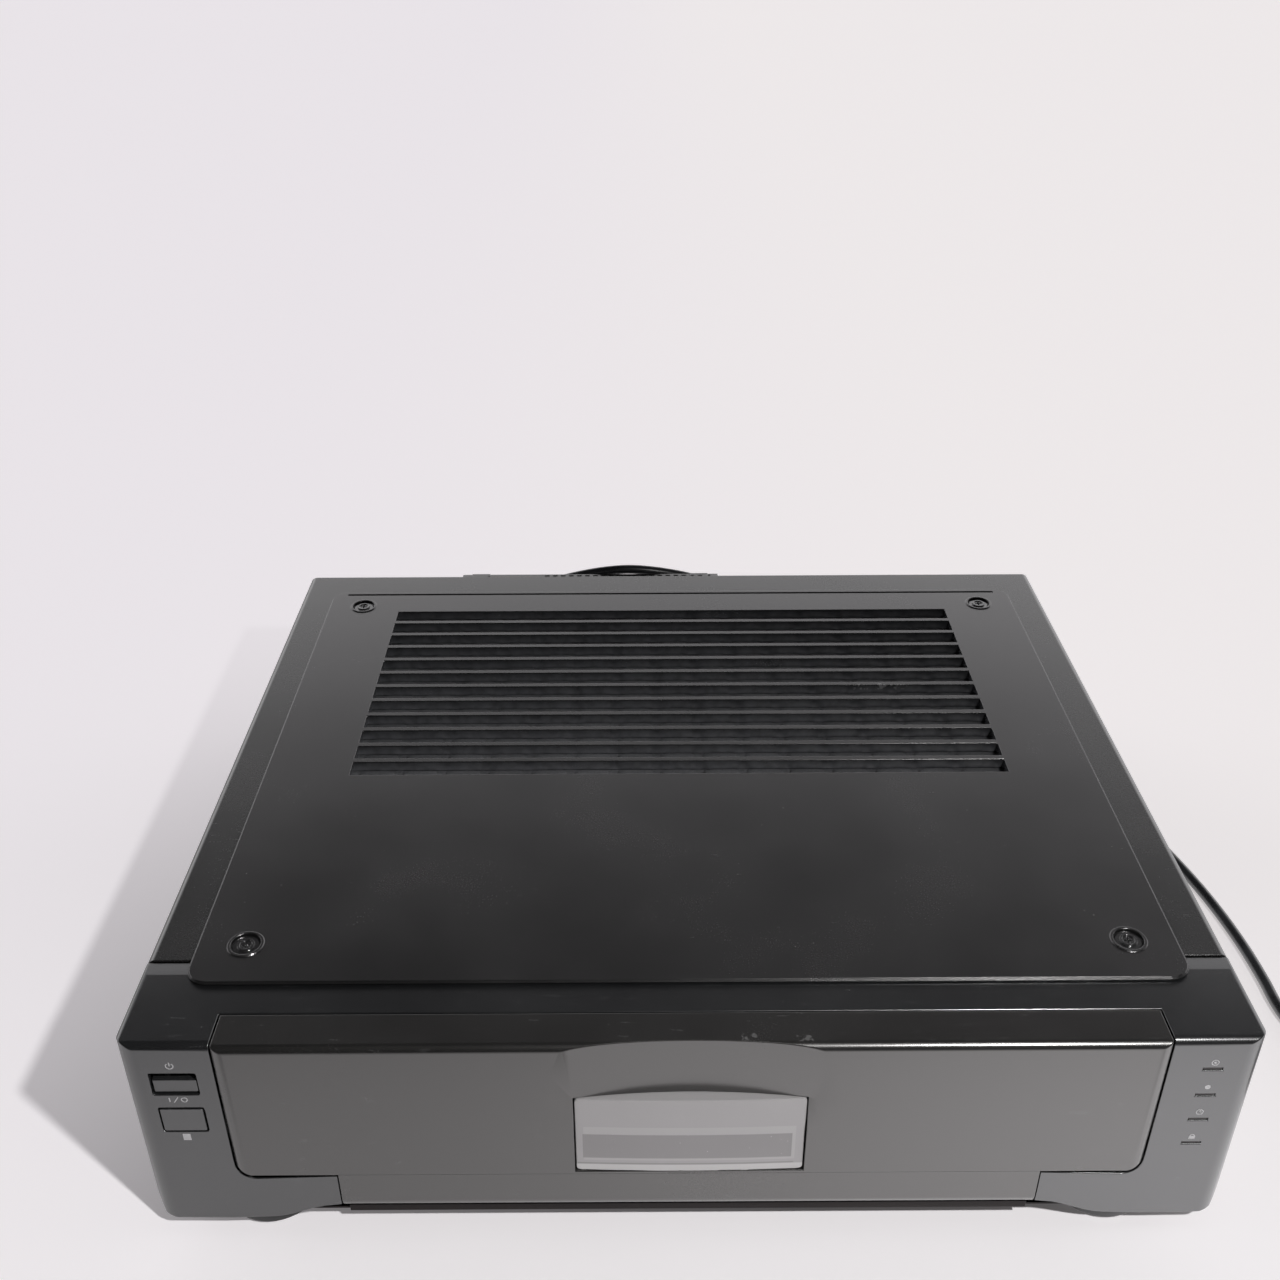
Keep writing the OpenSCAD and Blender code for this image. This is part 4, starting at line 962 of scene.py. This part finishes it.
@dataclass
class Casing(Assembly):
    """Bezel, cover, louvred panel, tray, rear panel, feet and screws."""

    edged: tuple[Edged, ...] = (
        Edged("front_bezel", BEZEL, 0.45, 3),
        Edged("top_cover", COVER, 0.35),
        Edged("louvre_panel", PANEL, 0.25, 3, shading=Shading.FLAT),
        Edged("rear_vent_box", COVER),
        Edged("feet", BLACK, 0.4),
        Edged("foot_pads", PAD),
        Edged("top_screws", SCREW, 0.15),
        Edged("cover_screws", SCREW, 0.12, 1),
        Edged("inner_fascia", BEZEL, 0.2),
        Edged("rear_panel", COVER, 0.15, 1),
        Edged("bottom_tray", TRAY, 0.15, 1),
    )
    plain: Dressed = (
        (VENT, "vent_sheet"),
        (LAMP, "indicator_lights"),
        (BLACK, "jack_block"),
        (ZINC, "tuner_box"),
    )
    slots: int = 12
    slot_pitch: float = 13.3
    tongue_y: float = 172.2
    tongue_pitch: float = 20.6
    tongues_a_side: int = 7
    tongue_half: Span = (8.8, 3.2)
    tongue_corner: float = 2.8
    tongue_shares: Quad = (1.0, 0.97, 0.86, 0.62)
    tongue_heights: Quad = (-4.1, -3.3, -2.8, -2.6)
    seam: Quad = (-188.0, 188.0, 341.4, 343.1)
    seam_z: float = 2.03
    vent_x: Span = (-75.7, -72.9)
    vent_y: Span = (377.4, 380.5)
    vent_z: float = -5.97
    vent_pitch: float = 4.9
    vents: int = 21

    def build(self) -> None:
        """Builds the outer pieces, the vent sheet's tongues and the painted shadows in the gaps."""
        super().build()
        self.tongues()
        self.gaps()

    def tongues(self) -> None:
        """Raises a row of long tongues on the vent sheet behind each louvre slot.

        A tongue is rings one above another; ring k is a long round outline shrunk by
        the k-th share and lifted to the k-th height.
        """
        outline = round_outline(*self.tongue_half, self.tongue_corner, 4)
        shares, heights = (
            np.array(row)[:, None] for row in (self.tongue_shares, self.tongue_heights)
        )
        tongues = []
        for row in range(self.slots):
            for column in range(-self.tongues_a_side, self.tongues_a_side + 1):
                middle = (self.tongue_pitch * column, self.tongue_y + self.slot_pitch * row)
                flat = outline[None] * shares[:, None] + middle
                tongues.append(np.dstack([flat, np.broadcast_to(heights, flat.shape[:2])]))
        add_piece("vent_tongues", rings_mesh("vent_tongues", *tongues), VENT, CASING)

    def gaps(self) -> None:
        """Lays thin dark plates, painted shadow, along the panel's rear seam and in the box's square
        vents.
        """
        plates = [(*self.seam, self.seam_z)]
        plates += [
            (self.vent_x[0] + k, self.vent_x[1] + k, *self.vent_y, self.vent_z)
            for k in self.vent_pitch * np.arange(self.vents)
        ]
        x0, x1, y0, y1, z = np.array(plates).T
        corners = np.array([(x0, y0, z), (x1, y0, z), (x1, y1, z), (x0, y1, z)])
        faces = np.arange(4 * len(plates)).reshape(-1, 4).tolist()
        mesh = new_mesh("gap_shades", corners.transpose(2, 0, 1), faces)
        mesh.shade_flat()
        add_piece("gap_shades", mesh, SHADE, CASING)


@dataclass
class Door(Assembly):
    """Flip-down door with its window, mask and filter."""

    edged: tuple[Edged, ...] = (
        Edged("door_panel", DOOR_FACE, 0.4, 3, weld_level=-29.6),
        Edged("door_window", WINDOW, 0.5, 3, angle=50.0),
        Edged("window_mask", MASK, 0.1, 1),
        Edged("window_filter", FILTER, 0.1, 1),
    )


@dataclass
class Controls(Assembly):
    """Buttons, rocker, dial and the electronics just behind them."""

    edged: tuple[Edged, ...] = (
        *alike("power_button open_button", BEZEL, 0.3, 3),
        *alike("play_button stop_button rewind_button forward_button pause_button", KEY, 0.3),
        Edged("record_button", RECORD_RED),
        Edged("channel_rocker", KEY),
        Edged("jog_dial", KEY, 0.2),
        Edged("shuttle_ring", BLACK, 0.15),
        Edged("cassette_flap", BLACK, 0.2),
        Edged("display_lens", LENS, 0.2),
    )
    plain: Dressed = ((DISPLAY, "display_module"), (GREEN_BOARD, "front_board"))


@dataclass
class Signs:
    """Plain signs printed on the front, on the keys and on the display."""

    bezel_y: float = 0.0
    fascia_y: float = 10.5
    key_y: float = 8.6
    display_y: float = 14.9
    digit_h: float = 9.0
    digit_w: float = 4.6
    digit_z: float = -56.0
    bar: float = 0.7
    bar_gap: float = 0.35
    digits: tuple[tuple[float, str], ...] = (
        (-12.5, "bc"), (-5.0, "abged"), (5.0, "abcdef"), (12.5, "abcdef")
    )
    dial: Span = (138.0, -49.0)
    tick_reach: Span = (22.6, 24.6)

    def on_case(self, word: str, y: float, *parts: Points) -> Sign:
        """A sign on an upright face of the casing."""
        return Sign("sign_" + word, CASING, "bezel_plastic", y, parts)

    def on_key(self, word: str, *parts: Points) -> Sign:
        """A sign on the key of that name."""
        slot = "record_red" if word == "record" else "key_plastic"
        return Sign("sign_" + word, word + "_button", slot, self.key_y, parts)

    def segments(self, x: float, z: float, lit: str) -> list[Points]:
        """The lit bars of a seven-bar figure.

        Args:
            x: Its middle.
            z: Its middle.
            lit: Letters of the bars that are lit, a to g.

        Returns:
            The bars' outlines.
        """
        w, h, gap = self.digit_w / 2, self.digit_h / 2, self.bar_gap
        ends = {
            "a": ((-w + gap, h), (w - gap, h)), "b": ((w, h - gap), (w, gap)),
            "c": ((w, -gap), (w, gap - h)), "d": ((-w + gap, -h), (w - gap, -h)),
            "e": ((-w, -gap), (-w, gap - h)), "f": ((-w, h - gap), (-w, gap)),
            "g": ((-w + gap, 0.0), (w - gap, 0.0)),
        }
        return [stroke(*[(x + dx, z + dz) for dx, dz in ends[c]], self.bar) for c in lit]

    def front(self) -> list[Sign]:
        """Signs of the bezel: power, on and off, eject and the four indicators.

        Returns:
            The signs.
        """
        y = self.bezel_y
        square = ((-1.5, -1.75), (1.5, -1.75), (1.5, 1.75), (-1.5, 1.75))
        lock = ((-1.2, -1.4), (1.2, -1.4), (1.2, 0.2), (-1.2, 0.2))
        power = bow(-194.5, -10.4, 1.4, 0.4, 125.0, 415.0)
        on, off = stroke((-197.6, -29.6), (-197.6, -27.4), 0.4), bow(-192.0, -28.5, 1.1, 0.4)
        slash = stroke((-196.0, -29.9), (-194.2, -27.1), 0.3)
        hands = [stroke((195.2, -38.4), end, 0.3) for end in ((195.2, -37.5), (195.9, -38.4))]
        shackle = bow(195.0, -52.0, 0.85, 0.35, 0.0, 180.0)
        return [
            self.on_case("power", y, power, stroke((-194.5, -10.3), (-194.5, -8.5), 0.4)),
            self.on_case("on_off", y, on, slash, off),
            self.on_case("eject", y, shape(-194.5, -49.3, *square)),
            self.on_case("signal", y, disc(195.6, -11.6, 0.5), bow(195.6, -11.6, 1.3, 0.35)),
            self.on_case("recording", y, disc(195.4, -24.7, 1.1)),
            self.on_case("timer", y, bow(195.2, -38.4, 1.3, 0.35), *hands),
            self.on_case("lock", y, shape(195.0, -52.2, *lock), shackle),
        ]

    def keys(self) -> list[Sign]:
        """Signs of the keys behind the door, and of the rocker, dial and display beside them.

        Returns:
            The signs.
        """
        right = ((-1.2, -1.5), (1.5, 0.0), (-1.2, 1.5))
        left = tuple((-x, z) for x, z in reversed(right))
        square = ((-1.3, -1.3), (1.3, -1.3), (1.3, 1.3), (-1.3, 1.3))
        up = ((-1.5, -1.1), (1.5, -1.1), (0.0, 1.4))
        down = tuple((x, -z) for x, z in reversed(up))
        near, far = self.tick_reach
        ticks = []
        for a in np.radians(np.arange(-75, 76, 25)):
            way = np.array([math.sin(a), math.cos(a)])
            ticks.append(stroke(tuple(way * near + self.dial), tuple(way * far + self.dial), 0.5))
        clock = [bar for x, lit in self.digits for bar in self.segments(x, self.digit_z, lit)]
        clock += [disc(0.0, self.digit_z + rise, 0.5) for rise in (1.6, -1.6)]
        return [
            self.on_key("rewind", shape(-153.4, -50, *left), shape(-150.6, -50, *left)),
            self.on_key("play", shape(-124, -50, *right)),
            self.on_key("forward", shape(-97.4, -50, *right), shape(-94.6, -50, *right)),
            self.on_key("stop", shape(-152, -66, *square)),
            self.on_key("pause", *(stroke((x, -67.4), (x, -64.6), 0.7) for x in (-124.8, -123.2))),
            self.on_key("record", disc(-96, -66, 1.3)),
            self.on_case("channel", self.fascia_y, shape(93, -50, *up), shape(93, -66, *down)),
            self.on_case("dial", self.fascia_y, *ticks),
            Sign("display_figures", CASING, "display_glass", self.display_y, tuple(clock), GLOW_INK),
        ]

    def build(self) -> None:
        """Builds the signs."""
        for sign in self.front() + self.keys():
            sign.build()


@dataclass
class Mechanism(Assembly):
    """Tape deck, cassette carriage and the boards under them."""

    edged: tuple[Edged, ...] = (
        *alike("deck_plate carriage_frame cassette_lift cassette_basket", DECK, 0.15, 1),
        *alike("lower_drum upper_drum", TURNED, 0.2),
        *alike("supply_reel takeup_reel", BLACK, 0.2),
        Edged("pinch_roller", TYRE),
    )
    plain: Dressed = (
        (TURNED, "capstan tape_heads"),
        (CORE, "capstan_motor transformer"),
        (ZINC, "loading_motor"),
        (DECK, "pinch_arm supply_guide takeup_guide"),
        (GEAR, "loading_gear reversing_gear"),
        (GREEN_BOARD, "main_board"),
        (BROWN_BOARD, "power_board"),
    )


class Side(Enum):
    """Sides of the plug."""

    LEFT = -1
    RIGHT = 1


@dataclass
class MainsLead:
    """The mains lead from its strain relief to the plug on the stored coil."""

    diameter: float = 5.6
    coil_at: Span = (334.0, 79.0)
    coil_radius: float = 38.75
    turns: int = 5
    pitch: float = 6.2
    layer: float = 6.1
    start: float = 180.0
    exit_run: float = 12.0
    pin_x: float = 6.35
    pin_half: Span = (0.8, 3.2)
    pin_corner: float = 0.25
    pin_reach: tuple[float, ...] = (49.0, 50.0, 64.6, 65.6, 66.0)
    pin_shrink: tuple[float, ...] = (1.0, 1.0, 1.0, 0.75, 0.45)
    slot: str = "cord_sheath"
    route: tuple[Place, ...] = (
        (-134, 394.5, -80), (-134, 401, -80), (-134, 411.5, -77.3), (-133, 419.5, -70.5),
        (-130, 422.5, -61), (-122.5, 419, -50.5), (-110, 410.5, -39.5), (-95, 401, -29),
        (-78, 393, -19.3), (-60, 388.2, -11.3), (-42, 386, -6.4), (-25, 385.4, -4.6),
        (-8, 386, -6.3), (10, 388.2, -11), (28, 392, -18.6), (45, 397.5, -28.6),
        (60, 403.5, -40), (73.5, 409.5, -52.5), (86, 415, -65.5), (98.5, 420, -78),
        (112, 424, -89.5), (128, 427, -98), (147, 428.5, -102.4), (168, 427.5, -103.2),
    )
    floor_z: float = -103.2
    floor_route: tuple[Span, ...] = (
        (190, 422), (210, 411.5), (227, 396), (240, 376), (248.5, 352), (253.5, 325), (257, 297),
        (262, 268), (271, 240), (279, 210), (284, 184), (287, 158), (288, 135), (287.8, 121),
        (288.8, 110), (291.8, 99), (294.8, 90.5), (295.25, 84.6),
    )

    def coil_line(self) -> Points:
        """Middle line of the coil.

        It spirals in on the floor, its radius falling by one pitch a turn, climbs one layer
        with a soft S over half a turn, and spirals out again on top.

        Returns:
            The line's points.
        """
        u = np.linspace(0, self.turns, self.turns * 72 + 1)
        half = self.turns / 2
        radius = self.coil_radius - self.pitch * np.minimum(u, self.turns - u)
        climb = np.clip((u - half) * 2 + 0.5, 0, 1)
        height = FLOOR_Z + self.diameter / 2 + self.layer * climb * climb * (3 - 2 * climb)
        a = np.radians(self.start) + 2 * np.pi * u
        x, y = self.coil_at
        coil = np.stack([x + radius * np.cos(a), y + radius * np.sin(a), height], axis=-1)
        tail = coil[-1] + np.array([[0, -self.exit_run / 2, 0], [0, -self.exit_run, 0]])
        return np.vstack([coil, tail])

    def plug_pieces(self) -> list[Object]:
        """The plug's moulded grip with its sleeve, and its two flat pins.

        The grip is rings along -y. A ring's point at angle a is half-width times
        |cos a|^p and half-height times |sin a|^p, each with its sign, with p from 1 at
        the round sleeve to 0.45 at the squarish grip.

        Returns:
            The pieces.
        """
        x, y = self.coil_at[0] - self.coil_radius, self.coil_at[1] - self.exit_run
        z = FLOOR_Z + self.diameter / 2 + self.layer
        high = z - FLOOR_Z
        rows = np.array([
            (0.0, 2.9, 2.9, 1.0), (0.3, 3.2, 3.2, 1.0), (8, 3.5, 3.5, 1.0), (16, 4.0, 4.0, 1.0),
            (22, 4.7, 4.6, 0.9), (25.5, 6.4, 5.9, 0.75), (28.5, 8.8, 7.9, 0.6), (31, 9.5, 8.6, 0.5),
            (36, 10.3, high, 0.45), (42, 10.9, high, 0.45), (46, 12.1, high, 0.45),
            (48.6, 12.3, high, 0.45), (49.6, 11.9, high - 0.4, 0.45), (50, 11.0, high - 1.3, 0.45),
        ])
        at = np.linspace(0, 50, 61)
        width, height, power = (np.interp(at, rows[:, 0], rows[:, k])[:, None] for k in (1, 2, 3))
        a = np.linspace(0, 2 * np.pi, 48, endpoint=False)[None, :]
        across = width * np.sign(np.cos(a)) * np.abs(np.cos(a)) ** power
        rise = height * np.sign(np.sin(a)) * np.abs(np.sin(a)) ** power
        along = np.broadcast_to(at[:, None], across.shape)
        grip = np.stack([x + across, y - along, z + rise], axis=-1)
        pieces = [add_piece("plug_grip", rings_mesh("plug_grip", grip), SHEATH, CASING)]
        outline = round_outline(*self.pin_half, self.pin_corner, 3)
        reach, shrink = np.array(self.pin_reach)[:, None], np.array(self.pin_shrink)[:, None]
        for side in Side:
            across = x + side.value * self.pin_x + outline[None, :, 0] * shrink
            along = np.broadcast_to(y - reach, across.shape)
            pin = np.stack([across, along, z + outline[None, :, 1] * (0.4 + 0.6 * shrink)], axis=-1)
            name = "plug_pin_" + side.name.lower()
            pieces.append(add_piece(name, rings_mesh(name, pin), NICKEL, CASING))
        return pieces

    def build(self) -> None:
        relief = Edged("strain_relief", SHEATH, 0.2, 2).build()
        tie = Edged("cord_tie", BLACK, 0.1, 1).build()
        laid = [(*spot, self.floor_z) for spot in self.floor_route]
        route = smooth_line(np.array([*self.route, *laid], float), 5)
        line = np.vstack([route[:-1], self.coil_line()])
        tube = rings_mesh("mains_lead", tube_rings(line, self.diameter / 2, 14))
        lead = add_piece("mains_lead", tube, SHEATH, CASING)
        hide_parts("cord", "cord_coil")
        plug = self.plug_pieces()
        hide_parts("plug")


# Room.


@dataclass
class Room:
    """Pale floor, sky, key light and camera."""

    camera_at: Place = (-19.09, -357.58, 384.56)
    pitch: float = 30.612
    yaw: float = 0.092
    roll: float = -0.249
    focal: float = 1366.0
    picture: float = 1280.0
    sensor: float = 36.0
    far_end: float = 100.0
    paper: Colour = (0.86, 0.84, 0.86)
    seen_left: Colour = (0.812, 0.772, 0.806)
    seen_right: Colour = (0.856, 0.818, 0.818)
    seen_x: Span = (-450.0, 350.0)
    sheen_left: Colour = (0.12, 0.12, 0.12)
    sheen_right: Colour = (0.76, 0.75, 0.76)
    sheen_x: Span = (-150.0, 300.0)
    dark_y: Span = (-330.0, -20.0)
    hidden_y: Span = (-60.0, 260.0)
    hidden_x: Span = (-150.0, 260.0)
    floor_half: float = 12000.0
    key_at: Place = (358.0, -445.0, 690.0)
    key_aim: Place = (0.0, -400.0, -106.0)
    key_colour: Colour = (1.0, 0.99, 0.98)
    key_power: float = 42.0
    key_half: float = 48.5
    key_radius: float = 0.02
    sky_colour: Quad = (1.0, 0.985, 1.0, 1.0)
    backdrop_heights: Span = (0.36, 0.71)
    backdrop_ways: Span = (-0.3, 0.45)
    backdrop_power: float = 1.45
    side_ways: Span = (-0.3, 0.3)
    side_power: float = 0.045
    sky_share: float = 0.2
    sky_hidden: float = 0.1
    hidden_right: float = 0.05
    dark_depth: float = 0.9
    dim: float = 0.015

    def camera(self) -> None:
        """Stands the camera where the photograph was taken from."""
        data = bpy.data.cameras.new("camera")
        data.sensor_fit = "HORIZONTAL"
        data.sensor_width = data.sensor_height = self.sensor
        data.lens = self.sensor * self.focal / self.picture
        data.clip_end = self.far_end
        camera = put("camera", data)
        turns = ((-self.yaw, "Z"), (90.0 - self.pitch, "X"), (self.roll, "Z"))
        yaw, pitch, roll = (Matrix.Rotation(math.radians(turn), 4, axis) for turn, axis in turns)
        camera.matrix_world = Matrix.Translation(Vector(in_case(self.camera_at))) @ yaw @ pitch @ roll
        bpy.context.scene.camera = camera

    def floor(self) -> None:
        """Lays a wide pale floor."""
        corners = np.array([[-1, -1], [1, -1], [1, 1], [-1, 1]]) * self.floor_half
        mesh = bpy.data.meshes.new("floor")
        mesh.from_pydata(in_case(np.column_stack([corners, np.full(4, FLOOR_Z)])), [], [(0, 1, 2, 3)])
        mesh.materials.append(self.floor_material())
        put("floor", mesh)

    def key_share(self, g: Graph) -> Wire:
        """Share of white that the key light gives matt white paper on the floor.

        With d the way from the lamp to the floor and h its height, it is
        power h / (4 pi^2 d^3), times a smooth step of the angle from the lamp's aim.

        Args:
            g: Graph of the floor's material.

        Returns:
            The share.
        """
        x, y, _ = g.bench()
        at, aim = np.array(self.key_at) * MM, np.array(self.key_aim) * MM
        axis = (aim - at) / np.linalg.norm(aim - at)
        h = at[2] - FLOOR_Z * MM
        dx, dy = x * MM - at[0], y * MM - at[1]
        d = (dx * dx + dy * dy + h * h) ** 0.5
        angle = (dx * axis[0] + dy * axis[1] - h * axis[2]) / d
        beam = angle.over(math.cos(math.radians(self.key_half)), 1.0)
        return beam / (d * d * d) * (self.key_power * h / (4 * math.pi**2))

    def floor_material(self) -> Material:
        """Pale paper, seen evenly bright, that ends in the dark for reflections.

        For the camera it glows by what the lamps leave short of the seen colour. In
        reflections it glows more to the right, and fades by a smooth step of y in front
        of the recorder, where only reflections can show it. Where the lamps give more
        than the seen colour, the camera sees the paper darker by that much.

        Returns:
            The material.
        """
        g = Graph.of("floor_pale")
        path = g.node("LightPath").outputs
        rays = ("Is Camera Ray", "Is Glossy Ray", "Is Transmission Ray")
        seen, mirrored, through = (Wire(g, path[name]) for name in rays)
        x, y, _ = g.bench()
        near = 1.0 - y.over(*self.hidden_y)
        hidden = near * (x.over(*self.hidden_x) * self.hidden_right + self.sky_hidden)
        lit = (self.key_share(g) + self.sky_share - hidden) * (self.paper[1] / self.seen_left[1])
        target = g.blend(x.over(*self.seen_x), self.seen_left, self.seen_right)
        glow = g.blend(seen + through, UNLIT, g.blend(lit, target, UNLIT))
        dark = mirrored * (1.0 - y.over(*self.dark_y)) * self.dark_depth
        sheen = g.blend(x.over(*self.sheen_x), self.sheen_left, self.sheen_right)
        glow = g.blend(mirrored, glow, g.blend(dark, sheen, UNLIT))
        paper = g.blend(g.noise(900.0), self.paper, tuple(c * 0.99 for c in self.paper))
        paper = g.blend((lit - 1.0) / lit * seen, paper, UNLIT)
        return g.finish({
            "Base Color": g.blend(dark, paper, UNLIT),
            "Roughness": 0.9,
            "Specular IOR Level": 0.0,
            "Emission Color": glow,
            "Emission Strength": 1.0,
        })

    def sky(self) -> None:
        """Lights the room: a pale backdrop low behind, and dark overhead and in front.

        The strength is a low level, a little more to the right, plus the product of two
        smooth steps, one of the direction's height, squared, and one of its y.
        """
        world = bpy.data.worlds.new("room")
        bpy.context.scene.world = world
        g = Graph(world, "Generated")
        x, y, z = g.parts()
        low = (1.0 - z.over(*self.backdrop_heights)) ** 2
        behind = y.over(*self.backdrop_ways)
        side = x.over(*self.side_ways) * self.side_power
        strength = low * behind * self.backdrop_power + side + self.dim
        back = g.node("Background", {"Color": self.sky_colour, "Strength": strength})
        g.node("OutputWorld", {"Surface": back.outputs[0]})

    def key(self) -> None:
        """Hangs the small key light to the front right."""
        data = bpy.data.lights.new("key", "SPOT")
        data.energy, data.color = self.key_power, self.key_colour
        data.shadow_soft_size = self.key_radius
        data.spot_size, data.spot_blend = math.radians(2 * self.key_half), 1.0
        key = put("key", data)
        at, aim = Vector(in_case(self.key_at)), Vector(in_case(self.key_aim))
        key.location = at
        key.rotation_euler = (aim - at).to_track_quat("-Z", "Y").to_euler()

    def build(self) -> None:
        """Builds the room."""
        self.camera()
        self.floor()
        self.sky()
        self.key()
        bpy.context.scene.view_settings.view_transform = "Standard"


def main() -> None:
    """Builds the recorder's pieces in order."""
    logging.basicConfig(level=logging.INFO, format="%(name)s: %(message)s")
    for part in (Room(), MainsLead(), Casing(), Door(), Controls(), Signs(), Mechanism()):
        part.build()
        log.info("%s is built", type(part).__name__)


if __name__ == "__main__":
    main()
